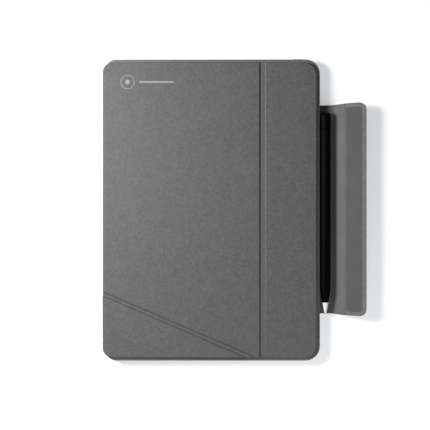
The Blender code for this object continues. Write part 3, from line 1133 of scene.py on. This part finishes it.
    def camera_outline(self, shrink: float) -> list[Corner]:
        """Return the camera hole's outline, smaller by shrink on every side."""
        low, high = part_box("camera_trim")
        return outline(low, high, self.gap - shrink, self.camera_radius - shrink)

    def camera_hole(self) -> Mesh:
        """Return the shape that cuts the camera hole."""
        return plate(self.camera_outline(0.0), -1 * MM, 4 * MM)

    def build_back(self) -> None:
        """Build the leather back, which the spine and tongue carry on from."""
        env, (foot, top) = self.env, self.tongue
        low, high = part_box("back_skin")
        radius = self.corner_back
        corners = [
            Corner(env.left, low.y, radius),
            Corner(env.right, low.y, self.corner_right),
            Corner(env.right, foot),
            Corner(env.right, top),
            Corner(env.right, high.y, self.corner_right),
            Corner(env.left, high.y, radius),
            Corner(env.left, env.ear),
            Corner(env.fold_x, env.ear),
            Corner(env.fold_x, -env.ear),
            Corner(env.left, -env.ear),
        ]
        mesh = plate(corners, low.z, high.z)
        notch_x, notch_y = env.fold_x + TINY, env.ear + TINY

        def free(p: Vector) -> bool:
            """Say whether an edge there isn't one that carries on."""
            tongue = abs(p.x - env.right) < TINY and foot < p.y < top
            return not tongue and not (p.x < notch_x and abs(p.y) < notch_y)

        soften(mesh, self.back_round, at_height(low.z, free))
        back = to_object(mesh, "back_leather")
        carve(back, self.camera_hole())
        place(back, "back_leather", Slot.LEATHER, Body.TRAY, ["back_skin"])
        points = elbow(
            env.left, env.spine_inner, env.fold_x, env.spine_foot, high.z, low.z
        )
        fold = section(points, -env.ear, env.ear)
        soften(fold, self.fold_round, near(env.left, low.z), 8)
        soften(fold, self.fold_inner_round, near(env.spine_inner, high.z), 8)
        start = (env.left + 1.0 * MM, 0, 0.4 * MM)
        end = (env.left + 0.2 * MM, 0, 1.4 * MM)
        bend = (Body.SPINE, start, end)
        place(fold, "foot_fold_leather", Slot.LEATHER, Body.TRAY, bend=bend)

    def build_lining(self) -> None:
        """Build the bay's lining, with its own camera hole."""
        low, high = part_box("back_lining")
        mesh = plate(outline(low, high, 0.0, self.lining_radius), low.z, high.z)
        soften(mesh, self.lining_round, at_height(high.z), 2)
        lining = to_object(mesh, "bay_lining")
        carve(lining, self.camera_hole())
        place(lining, "bay_lining", Slot.MICROFIBRE, Body.TRAY, ["back_lining"])

    def build_trim(self) -> None:
        """Build the ring that lines the camera hole."""
        low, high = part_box("camera_trim")
        inner = self.camera_outline(self.gap + self.trim_wall)
        outer = self.camera_outline(self.gap)
        loops = [(outer, low.z), (outer, high.z), (inner, high.z), (inner, low.z)]
        mesh = self.loft(loops)
        soften(mesh, self.trim_outer_round, at_height(low.z), 3)
        soften(mesh, self.trim_inner_round, at_height(high.z), 2)
        place(mesh, "camera_ring", Slot.TRIM, Body.TRAY, ["camera_trim"])

    def build_buttons(self) -> None:
        """Build the three keys as crowned capsules."""
        turns = {
            Body.POWER: Matrix(((1, 0, 0), (0, 0, 1), (0, 1, 0))),
            Body.VOLUME_UP: SIDEWAYS,
            Body.VOLUME_DOWN: SIDEWAYS,
        }
        for body, turn in turns.items():
            node = f"{body.value}_button"
            low, high = (turn.inverted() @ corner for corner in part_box(node))
            low, high = Vector(map(min, low, high)), Vector(map(max, low, high))
            half = (high.y - low.y) / 2
            mesh = plate(outline(low, high, 0.0, half * ROUND), low.z, high.z)
            soften(mesh, self.key_round, at_height(high.z))
            bmesh.ops.transform(mesh, matrix=turn.to_4x4(), verts=mesh.verts)
            bmesh.ops.recalc_face_normals(mesh, faces=mesh.faces[:])
            place(mesh, f"{body.value}_key", Slot.RUBBER, body, [node])


@dataclass
class Spine:
    """The leather spine between the back and the cover."""

    env: Envelope
    crease: CreaseLine
    edge: float
    lining: float = 0.15 * MM
    foot: float = 1.2 * MM
    tail: float = 9.2 * MM
    reach: float = 2.2 * MM
    bend_round: float = 0.58 * MM
    end_round: float = 2.2 * MM
    inner_round: float = 0.6 * MM
    shoulder_foot: float = -90 * MM
    hinge_foot: float = -60 * MM

    def build(self) -> None:
        """Build and place every piece of the spine."""
        env = self.env
        wall = upright(env.left, env.spine_inner, env.spine_foot, env.spine_top)
        mesh = section(wall, -env.spine_end, env.spine_end)
        across = (env.left + env.spine_inner) / 2

        def ends(p: Vector) -> bool:
            """Say whether an edge there runs across one of the spine's ends."""
            return abs(p.x - across) < TINY and abs(p.y) > env.spine_end - TINY

        soften(mesh, self.end_round, ends, 6)
        place(mesh, "spine_leather", Slot.LEATHER, Body.SPINE, ["spine_skin"])
        self.build_shoulder()
        self.build_lining()
        dress_cad(Slot.FIBREBOARD, "spine_board")

    def build_shoulder(self) -> None:
        """Build the leather that rolls from the spine on to the cover."""
        env = self.env
        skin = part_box("main_skin")
        points = elbow(
            env.left, env.spine_inner, env.fold_x, env.spine_top, skin[0].z, skin[1].z
        )
        mesh = section(points, self.shoulder_foot, env.ear)
        soften(mesh, env.shoulder, near(env.left, skin[1].z), 12)
        soften(mesh, self.inner_round, near(env.spine_inner, skin[0].z), 8)
        slice_off(mesh, self.crease.shifted(self.edge), self.crease.across)
        start = (env.left + 0.2 * MM, 0, 10.9 * MM)
        bend = (Body.MAIN, start, (env.left + 1.0 * MM, 0, 12.0 * MM))
        place(mesh, "shoulder_leather", Slot.LEATHER, Body.SPINE, bend=bend)

    def build_lining(self) -> None:
        """Build the thin lining of the spine and of its bend to the cover."""
        env = self.env
        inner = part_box("spine_board")[1].x + 0.02 * MM
        outer, tail = inner + self.lining, self.tail
        flat = section(upright(inner, outer, self.foot, tail), -env.ear, env.ear)
        place(flat, "spine_lining", Slot.MICROFIBRE, Body.SPINE)
        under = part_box("main_lining")[0].z
        low, reach = under - self.lining, env.fold_x + self.reach
        points = elbow(inner, outer, reach, tail, low, under)
        bent = section(points, self.hinge_foot, env.ear)
        soften(bent, self.bend_round, near(inner, under), 12)
        soften(bent, self.bend_round - self.lining, near(outer, low), 12)
        start, end = (inner, 0, tail + 0.1 * MM), (inner + 0.75 * MM, 0, under)
        bend = (Body.MAIN, start, end)
        place(bent, "hinge_lining", Slot.MICROFIBRE, Body.SPINE, bend=bend)


@dataclass
class FrontCover:
    """The folding cover: a main panel, a strip and a corner panel."""

    env: Envelope
    crease: CreaseLine
    edge: float
    end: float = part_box("main_skin")[1].y
    top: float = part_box("main_skin")[1].z
    skin_low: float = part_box("main_skin")[0].z
    base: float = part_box("main_lining")[0].z
    main_right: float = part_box("main_skin")[1].x
    strip_left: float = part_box("strip_skin")[0].x
    strip_right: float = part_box("strip_skin")[1].x
    corner: float = 10.7 * MM
    spine_corner: float = 8.2 * MM
    rim: float = 1.4 * MM
    crease_rim: float = 0.2 * MM
    tuck: float = 0.5 * MM
    groove: float = 1.7 * MM
    groove_depth: float = 0.45 * MM
    groove_slope: float = 0.5 * MM
    band: float = 1.4 * MM
    band_depth: float = 0.12 * MM
    band_round: float = 0.45 * MM
    bed_depth: float = 0.15 * MM
    strip_gap: float = 0.25 * MM
    slant_gap: float = 0.2 * MM
    web_end_round: float = 0.5 * MM
    reach: float = 150 * MM
    lining_sunk: float = 0.02 * MM
    lining_gap: float = 0.06 * MM
    lining_round: float = 0.12 * MM

    def build(self) -> None:
        """Build and place every piece of the cover."""
        self.build_main()
        self.build_strip()
        self.build_corner()
        self.build_strip_crease()
        self.build_slanting_crease()
        FoilMark(self.env, self.top).build()
        dress_cad(Slot.FIBREBOARD, "main_board", "strip_board", "corner_board")
        dress_cad(Slot.STEEL, "catch_plate", "wake_magnet_top", "wake_magnet_foot")

    def panel(
        self,
        name: str,
        corners: list[Corner],
        hollow: list[Corner],
        crease: Where,
        carries_on: Where,
    ) -> bpy.types.Object:
        """Return one leather panel, turned over its board and open underneath.

        Args:
            name: The panel's name.
            corners: The panel's outline.
            hollow: The outline that its hem and lining follow.
            crease: Says where an edge borders a crease.
            carries_on: Says where another piece carries the leather on.

        Returns:
            The panel.
        """
        mesh = plate(corners, self.base, self.top)
        soften(mesh, self.crease_rim, at_height(self.top, crease), 3)

        def free(p: Vector) -> bool:
            """Say whether an edge there is an outer one."""
            return not crease(p) and not carries_on(p)

        soften(mesh, self.rim, at_height(self.top, free), 6)
        made = to_object(mesh, name)
        below = self.base - 1 * MM
        carve(made, plate(hollow, below, self.skin_low, inset=self.env.hem))
        return made

    def lining(self, corners: list[Corner], name: str, body: Body, node: str) -> None:
        """Build one panel's lining inside its leather hem.

        Args:
            corners: The panel's outline.
            name: The lining's name.
            body: The body it moves with.
            node: The CAD node it stands for.
        """
        low, high = self.base + self.lining_sunk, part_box(node)[1].z
        mesh = plate(corners, low, high, inset=self.env.hem + self.lining_gap)
        soften(mesh, self.lining_round, at_height(low), 2)
        place(mesh, name, Slot.MICROFIBRE, body, [node])

    def build_main(self) -> None:
        """Build the main panel, which the spine's shoulder joins on the left."""
        env, crease, edge = self.env, self.crease, self.edge
        corners = [
            Corner(env.fold_x, crease.y_at(env.fold_x, -edge)),
            Corner(crease.x_at(-self.end, -edge), -self.end),
            Corner(self.main_right, -self.end),
            Corner(self.main_right, self.end),
            Corner(env.left, self.end, self.spine_corner),
            Corner(env.left, env.ear),
            Corner(env.fold_x, env.ear),
        ]
        line = crease.shifted(-edge)

        def creased(p: Vector) -> bool:
            """Say whether a place lies at either crease."""
            slant = abs((p - line).xy.dot(crease.across.xy)) < TINY
            return slant or abs(p.x - self.main_right) < TINY

        def joins(p: Vector) -> bool:
            """Say whether the shoulder carries on from there."""
            return p.x < env.fold_x + TINY and p.y < env.ear + TINY

        meet = Corner(self.main_right, crease.y_at(self.main_right, -edge))
        hollow = [corners[0], meet, *corners[3:]]
        made = self.panel("main_leather", corners, hollow, creased, joins)
        place(made, "main_leather", Slot.LEATHER, Body.MAIN, ["main_skin"])
        self.lining(hollow, "main_panel_lining", Body.MAIN, "main_lining")

    def build_strip(self) -> None:
        """Build the strip on the right."""
        edges = self.strip_left, self.strip_right, -self.end, self.end
        corners = block(*edges, 0.0, self.corner, self.corner, 0.0)
        made = self.panel("strip_leather", corners, corners, nowhere, nowhere)
        place(made, "strip_leather", Slot.LEATHER, Body.STRIP, ["strip_skin"])
        self.lining(corners, "strip_panel_lining", Body.STRIP, "strip_lining")

    def build_corner(self) -> None:
        """Build the three-sided corner panel."""
        env, crease, edge = self.env, self.crease, self.edge
        corners = [
            Corner(env.left, -self.end, self.spine_corner),
            Corner(crease.x_at(-self.end, edge), -self.end),
            Corner(env.left, crease.y_at(env.left, edge)),
        ]
        line = crease.shifted(edge)

        def creased(p: Vector) -> bool:
            """Say whether a place lies at the crease."""
            return abs((p - line).xy.dot(crease.across.xy)) < TINY

        made = self.panel("corner_leather", corners, corners, creased, nowhere)
        place(made, "corner_leather", Slot.LEATHER, Body.CORNER, ["corner_skin"])
        self.lining(corners, "corner_panel_lining", Body.CORNER, "corner_lining")

    def build_strip_crease(self) -> None:
        """Build the pressed web between the main panel and the strip."""
        low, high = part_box("strip_web")
        left, right = self.main_right - self.tuck, self.strip_left + self.tuck
        ramp, end = self.main_right + self.groove, self.end - self.strip_gap
        points = upright(left, right, low.z, high.z)[:3]
        bed = high.z - self.groove_depth
        points += [(ramp + self.groove_slope, high.z), (ramp, bed), (left, bed)]
        mesh = section(points, -end, end)
        score(mesh, left, right, 12)
        bend = (Body.STRIP, (self.main_right, 0, 0), (self.strip_left, 0, 0))
        name = "strip_crease_leather"
        place(mesh, name, Slot.LEATHER, Body.MAIN, ["strip_web"], bend=bend)

    def build_slanting_crease(self) -> None:
        """Build the web of the corner fold, a low band between two grooves."""
        crease, low = self.crease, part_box("corner_web")[0].z
        far, band = self.edge + self.tuck, self.band
        bed, crest = self.skin_low - self.bed_depth, self.top - self.band_depth
        points = upright(-far, far, low, bed)
        points[3:3] = [(band, bed), (band, crest), (-band, crest), (-band, bed)]
        mesh = section(points, -self.reach, self.reach)
        for side in (-band, band):
            soften(mesh, self.band_round, near(side, crest))
        score(mesh, -far, far, 12)
        axes = Matrix((crease.across, -crease.along, Vector((0, 0, 1)))).transposed()
        bmesh.ops.transform(mesh, matrix=axes.to_4x4(), verts=mesh.verts)
        shift = Vector((crease.point.x, crease.point.y, 0))
        bmesh.ops.translate(mesh, verts=mesh.verts, vec=shift)
        slice_off(mesh, (self.env.left + self.tuck, 0, 0), (-1, 0, 0))
        slice_off(mesh, (0, -self.end + self.slant_gap, 0), (0, -1, 0))

        def shoulder(p: Vector) -> bool:
            """Say whether a place is at the top of the web's end over the spine."""
            outer = abs(p.x - self.env.left - self.tuck) < TINY
            return outer and p.z > self.skin_low

        soften(mesh, self.web_end_round, shoulder, 3)
        bmesh.ops.recalc_face_normals(mesh, faces=mesh.faces[:])
        start, end = crease.shifted(-self.edge), crease.shifted(self.edge)
        name, bend = "corner_crease_leather", (Body.CORNER, start, end)
        place(mesh, name, Slot.LEATHER, Body.MAIN, ["corner_web"], bend=bend)


@dataclass
class FoilMark:
    """A plain ring, dot and bar of foil near the cover's top left corner."""

    env: Envelope
    top: float
    centre: tuple[float, float] = (21.2 * MM, 107.8 * MM)
    ring: float = 6.0 * MM
    line: float = 0.5 * MM
    dot: float = 1.9 * MM
    bar: tuple[float, float] = (31.0 * MM, 60.2 * MM)
    bar_half: float = 0.7 * MM
    sunk: float = 0.02 * MM
    thick: float = 0.05 * MM

    def build(self) -> None:
        """Build and place the mark."""
        start, half = self.env.left, self.bar_half
        centre = Vector((start + self.centre[0], self.centre[1], self.top - self.sunk))
        ring, dot = self.disc(self.ring, 72), self.disc(self.dot, 48)
        bmesh.ops.inset_region(
            ring, faces=ring.faces[:], thickness=self.line, use_boundary=True
        )
        inner = max(ring.faces, key=lambda f: len(f.verts))
        bmesh.ops.delete(ring, geom=[inner], context="FACES_ONLY")
        for flat in (ring, dot):
            thicken(flat, (0, 0, self.thick))
            bmesh.ops.translate(flat, verts=flat.verts, vec=centre)
        left, right = (start + x for x in self.bar)
        bar = block(left, right, centre.y - half, centre.y + half, half * ROUND)
        parts = [ring, dot, plate(bar, centre.z, centre.z + self.thick)]
        place(joined(parts), "foil_mark", Slot.LEATHER, Body.MAIN, finish=Foil())

    def disc(self, radius: float, segments: int) -> Mesh:
        """Return a flat disc at the origin.

        Args:
            radius: The disc's radius.
            segments: How many sides it has.

        Returns:
            The mesh of one face.
        """
        mesh = bmesh.new()
        bmesh.ops.create_circle(mesh, cap_ends=True, radius=radius, segments=segments)
        return mesh


@dataclass
class StylusFlap:
    """The tongue under the stylus, and the flap that wraps round it."""

    env: Envelope
    root: float = 100.8 * MM
    middle_z: float = 0.825 * MM
    knee: float = 5.0 * MM
    knee_angle: float = math.radians(39.82)
    crease_angle: float = math.radians(38.0)
    crease: float = 14.673 * MM
    tilt: float = math.radians(10.0)
    foot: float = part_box("tongue_lining")[0].y
    top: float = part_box("tongue_lining")[1].y
    flare: float = 1.5 * MM
    split: float = 108.4 * MM
    pad_gap: float = 0.98 * MM
    pad_width: float = 18.1 * MM
    pad_half: float = 1.248 * MM
    pad_shelf: float = 0.5 * MM
    pad_round: float = 0.7 * MM
    pad_step: float = 0.3 * MM
    pad_fit: float = 0.06 * MM
    pad_radius: float = 6.0 * MM
    hem: float = 3.5 * MM
    board_hem: float = 1.5 * MM
    leather: tuple[float, float] = (0.0, 0.8 * MM)
    lining: tuple[float, float] = (1.05 * MM, 1.65 * MM)
    lining_inset: float = 0.55 * MM
    overlap: float = 0.7 * MM
    step: float = 0.7 * MM
    side_round: float = 0.22 * MM

    def build(self) -> None:
        """Build and place every piece of the flap."""
        side_hinge = (Body.SIDE, (100 * MM, 0, 0.8 * MM), (105 * MM, 0, 2.4 * MM))
        axis = joint_place("flap_pad_hinge")[0]
        run = Vector((math.cos(self.tilt), 0, math.sin(self.tilt)))
        pad_hinge = (Body.PAD, axis - run * 1.3 * MM, axis + run * 1.0 * MM)
        pad_left = self.root + self.crease + self.pad_gap
        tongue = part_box("tongue_lining")[0].x
        leather = (self.env.right, self.leather, 0.0, ["flap_side_skin"])
        lining_nodes = ["tongue_lining", "flap_side_lining"]
        lining = (tongue, self.lining, self.lining_inset, lining_nodes)
        layers = {Slot.LEATHER: leather, Slot.MICROFIBRE: lining}
        for slot, (left, heights, inset, nodes) in layers.items():
            kind = "leather" if slot is Slot.LEATHER else "lining"
            root = self.sheet(left, self.split, *heights, inset)
            place(root, f"wrap_root_{kind}", slot, Body.TRAY, nodes, bend=side_hinge)
            fold = self.sheet(self.split, pad_left + self.overlap, *heights, inset)
            place(fold, f"wrap_fold_{kind}", slot, Body.SIDE, bend=pad_hinge)
        self.build_pad(pad_left)
        dress_cad(Slot.FIBREBOARD, "flap_pad_board")
        magnets = [f"flap_magnet_{part}" for part in ("foot", "middle", "top")]
        dress_cad(Slot.STEEL, *magnets)

    def ends(self, x: float, inset: float = 0.0) -> tuple[float, float]:
        """Return the flap's lowest and highest y at some distance along it.

        Args:
            x: The distance, as its x on the flat flap.
            inset: How far inside the flap's ends.

        Returns:
            The lowest and the highest y.
        """
        far = joint_place("flap_side_hinge")[0].x
        rim = self.root + self.crease + self.pad_width
        grow = self.flare * max((x - far) / (rim - far), 0.0) - inset
        return self.foot - grow, self.top + grow

    def sheet(
        self, left: float, right: float, low: float, high: float, inset: float = 0.0
    ) -> Mesh:
        """Return part of the wrap's sheet, curled up from the tongue.

        Args:
            left: Where it starts along the flat flap.
            right: Where it ends.
            low: Its underside's height when flat.
            high: Its top's height when flat.
            inset: How far its ends lie inside the flap's.

        Returns:
            The curled mesh.
        """
        bends = [self.root] if left < self.root < right else []
        stops = [left, *bends, right]
        corners = [Corner(x, self.ends(x, inset)[0]) for x in stops]
        corners += [Corner(x, self.ends(x, inset)[1]) for x in reversed(stops)]
        mesh = plate(corners, low, high)

        def side(p: Vector) -> bool:
            """Say whether an edge there lies along one of the flap's ends."""
            level = min(abs(p.z - low), abs(p.z - high)) < TINY
            return level and left + TINY < p.x < right - TINY

        soften(mesh, self.side_round, side, 2)
        score(mesh, left, right, max(2, round((right - left) / self.step)))
        self.curl(mesh)
        return mesh

    def curl(self, mesh: Mesh | bpy.types.Mesh) -> None:
        """Bend a flat mesh along the flap's profile.

        Args:
            mesh: The flat mesh, which changes.
        """
        for vert in mesh.verts if hasattr(mesh, "verts") else mesh.vertices:
            x, z, angle = self.profile(vert.co.x)
            rise = vert.co.z - self.middle_z
            vert.co.x = x - rise * math.sin(angle)
            vert.co.z = z + rise * math.cos(angle)

    def profile(self, along: float) -> tuple[float, float, float]:
        """Return the place and slope of the flap's middle at some distance.

        Args:
            along: Distance along the flat flap, as its x there.

        Returns:
            x, z and the slope's angle.
        """
        x, z, angle = min(along, self.root), self.middle_z, 0.0
        rest = max(along - self.root, 0.0)
        curved = min(rest, self.crease)
        steps = max(1, math.ceil(curved / (0.1 * MM)))
        for i in range(steps if curved else 0):
            angle = self.slope((i + 0.5) * curved / steps)
            x += math.cos(angle) * curved / steps
            z += math.sin(angle) * curved / steps
        angle = self.slope(rest) if rest < self.crease else self.tilt
        angle = angle if rest else 0.0
        straight = rest - curved
        x += straight * math.cos(self.tilt)
        z += straight * math.sin(self.tilt)
        return x, z, angle

    def slope(self, rest: float) -> float:
        """Return the slope's angle at some distance past the tongue.

        Args:
            rest: The distance past the tongue.

        Returns:
            The slope's angle.
        """
        if rest < self.knee:
            return self.knee_angle * rest / self.knee
        share = (rest - self.knee) / (self.crease - self.knee)
        return self.knee_angle + (self.crease_angle - self.knee_angle) * share

    def build_pad(self, left: float) -> None:
        """Build the stiff end of the flap: leather round a board, then lining.

        Args:
            left: Where the pad starts along the flat flap.
        """
        low, high = self.middle_z - self.pad_half, self.middle_z + self.pad_half
        floor, shelf = low + self.leather[1], high - self.pad_shelf
        mesh = plate(self.pad_outline(left, 0.0, 0.0), low, high)
        for height in (low, high):
            soften(mesh, self.pad_round, at_height(height), 5)
        pad = to_object(mesh, "pad_leather")
        step, gap = self.pad_step, self.pad_fit
        carve(pad, plate(self.pad_outline(left, step, self.board_hem), floor, shelf))
        mouth = self.pad_outline(left, step, self.hem)
        carve(pad, plate(mouth, shelf - 0.1 * MM, high + 1 * MM))
        self.curl(pad.data)
        # The pad's leather is a lighter copy of the leather (shade 0.15 against 0.088): a
        # painted highlight, so the pad's hem and edges read as brightly lit.
        finish, nodes = Leather("flap_leather_painted_highlight", 0.15), ["flap_pad_skin"]
        place(pad, "pad_leather", Slot.LEATHER, Body.PAD, nodes, finish)
        corners = self.pad_outline(left, step + gap, self.hem + gap)
        high -= 0.05 * MM
        mesh = plate(corners, shelf + 0.04 * MM, high)
        soften(mesh, 0.15 * MM, at_height(high), 2)
        self.curl(mesh)
        # The pad's lining is a darker copy of the microfibre (shade 0.1 against 0.12 on the
        # wrap): painted shade, so the pad reads darker than the lit slope of the wrap.
        finish, nodes = Microfibre("pad_microfibre_painted_shade", 0.1), ["flap_pad_lining"]
        place(mesh, "pad_lining", Slot.MICROFIBRE, Body.PAD, nodes, finish)

    def pad_outline(self, left: float, step: float, hem: float) -> list[Corner]:
        """Return the pad's outline, or one inside it.

        Args:
            left: Where the pad starts along the flat flap.
            step: How far inside the crease side.
            hem: How far inside the other three sides.

        Returns:
            The outline's corners.
        """
        right = self.root + self.crease + self.pad_width
        radius = max(self.pad_radius - hem, 1.5 * MM)
        return [
            Corner(left + step, self.ends(left + step, hem)[0]),
            Corner(right - hem, self.ends(right - hem, hem)[0], radius),
            Corner(right - hem, self.ends(right - hem, hem)[1], radius),
            Corner(left + step, self.ends(left + step, hem)[1]),
        ]


@dataclass
class Stylus:
    """The stylus: a barrel with a tapered end, a cap and a nib."""

    taper: float = 10.5 * MM
    shoulder_round: float = 2.5 * MM
    joint_round: float = 0.15 * MM
    cap_round: float = 3.4 * MM
    point: float = 0.9 * MM
    point_round: float = 0.75 * MM
    sides: int = 56

    def build(self) -> None:
        """Build and place the stylus's three pieces."""
        barrel_low, barrel_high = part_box("stylus_barrel")
        cap_low, cap_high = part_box("stylus_cap")
        nib_low, nib_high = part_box("stylus_nib")
        centre = (barrel_low + barrel_high) / 2
        radius = (barrel_high.x - barrel_low.x) / 2
        root = (nib_high.x - nib_low.x) / 2
        shoulder = barrel_low.y + self.taper
        body = self.rod(centre, shoulder, barrel_high.y, radius, radius)
        end = min(body.faces, key=lambda f: f.calc_center_median().y)
        cone = bmesh.ops.extrude_discrete_faces(body, faces=[end])["faces"]
        verts = list({v for f in cone for v in f.verts})
        bmesh.ops.translate(body, verts=verts, vec=(0, -self.taper, 0))
        about = Matrix.Translation((-centre.x, 0, -centre.z))
        share = root / radius
        bmesh.ops.scale(body, verts=verts, vec=(share, 1, share), space=about)
        bend = [e for e in body.edges if at_y(shoulder)(middle(e))]
        bevel(body, bend, self.shoulder_round, Affect.EDGES, 6)
        soften(body, self.joint_round, at_y(barrel_high.y), 2)
        place(body, "barrel", Slot.BLACK_PLASTIC, Body.STYLUS, ["stylus_barrel"])
        cap = self.rod(centre, cap_low.y, cap_high.y, radius, radius)
        soften(cap, self.cap_round, at_y(cap_high.y), 8)
        soften(cap, self.joint_round, at_y(cap_low.y), 2)
        place(cap, "cap", Slot.BLACK_PLASTIC, Body.STYLUS, ["stylus_cap"])
        nib = self.rod(centre, nib_low.y, nib_high.y, self.point, root)
        soften(nib, self.point_round, at_y(nib_low.y), 5)
        place(nib, "nib", Slot.WHITE_PLASTIC, Body.STYLUS, ["stylus_nib"])

    def rod(
        self, centre: Vector, start: float, end: float, first: float, last: float
    ) -> Mesh:
        """Return a round rod along Y.

        Args:
            centre: A point of its axis.
            start: Its lowest y.
            end: Its highest y.
            first: Its radius at the start.
            last: Its radius at the end.

        Returns:
            The closed mesh.
        """
        mesh = bmesh.new()
        bmesh.ops.create_cone(
            mesh,
            cap_ends=True,
            segments=self.sides,
            radius1=last,
            radius2=first,
            depth=end - start,
        )
        turn = Matrix.Rotation(math.pi / 2, 4, "X")
        bmesh.ops.transform(mesh, matrix=turn, verts=mesh.verts)
        shift = (centre.x, (start + end) / 2, centre.z)
        bmesh.ops.translate(mesh, verts=mesh.verts, vec=shift)
        bmesh.ops.recalc_face_normals(mesh, faces=mesh.faces[:])
        return mesh


@dataclass(frozen=True)
class SoftLight:
    """A square soft light: its name, place, target, side and power in watts."""

    name: str
    where: tuple[float, float, float]
    target: tuple[float, float, float]
    size: float
    power: float

    def build(self) -> None:
        """Hang the light and turn it to its target."""
        data = bpy.data.lights.new(self.name, "AREA")
        data.size, data.energy = self.size, self.power
        light = bpy.data.objects.new(self.name, data)
        light.location = self.where
        aim = Vector(self.target) - Vector(self.where)
        light.rotation_euler = aim.to_track_quat("-Z", "Y").to_euler()
        light.visible_camera = False
        bpy.context.scene.collection.objects.link(light)


@dataclass
class Studio:
    """The floor, lights and camera."""

    lights: tuple[SoftLight, ...] = (
        SoftLight("key", (-0.34, 0.12, 0.32), (0.0, 0.0, 0.0), 0.18, 3.95),
        SoftLight("fill", (0.18, -0.46, 0.26), (0.0, -0.02, 0.0), 0.3, 1.2),
    )
    floor_size: float = 40.0
    aim: tuple[float, float] = (3.05 * MM, -4.21 * MM)
    distance: float = 750 * MM
    view_width: float = 362.1 * MM
    sensor: float = 36.0

    def build(self) -> None:
        """Set up the studio."""
        self.build_floor()
        self.build_world()
        for light in self.lights:
            light.build()
        self.build_camera()
        bpy.context.scene.view_settings.view_transform = "Standard"
        LOG.info("studio: floor, lights and camera")

    def build_floor(self) -> None:
        """Lay the floor just under the case."""
        mesh = bmesh.new()
        bmesh.ops.create_grid(mesh, x_segments=2, y_segments=2, size=self.floor_size)
        floor = to_object(mesh, "floor")
        floor.location.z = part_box("back_skin")[0].z - 0.02 * MM
        floor.data.materials.append(WARDROBE.finish(PaleFloor()))

    def build_world(self) -> None:
        """Light the scene evenly from all round."""
        world = bpy.data.worlds.new("studio")
        world.use_nodes = True
        background = world.node_tree.nodes["Background"]
        background.inputs["Color"].default_value = (0.9, 0.92, 0.95, 1)
        background.inputs["Strength"].default_value = 0.2
        bpy.context.scene.world = world

    def build_camera(self) -> None:
        """Stand the camera straight above the case, looking down."""
        data = bpy.data.cameras.new("camera")
        data.sensor_width = self.sensor
        data.lens = self.sensor * self.distance / self.view_width
        data.dof.use_dof = False
        camera = bpy.data.objects.new("camera", data)
        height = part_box("main_skin")[1].z + self.distance
        camera.location = (*self.aim, height)
        bpy.context.scene.collection.objects.link(camera)
        bpy.context.scene.camera = camera


def main() -> None:
    """Build every sub-assembly in order."""
    logging.basicConfig(level=logging.INFO, format="%(name)s: %(message)s")
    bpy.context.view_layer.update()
    env, crease = Envelope(), CreaseLine()
    edge = 2.2 * MM
    TrayBack(env).build()
    Spine(env, crease, -edge).build()
    FrontCover(env, crease, edge).build()
    StylusFlap(env).build()
    Stylus().build()
    Studio().build()


if __name__ == "__main__":
    main()
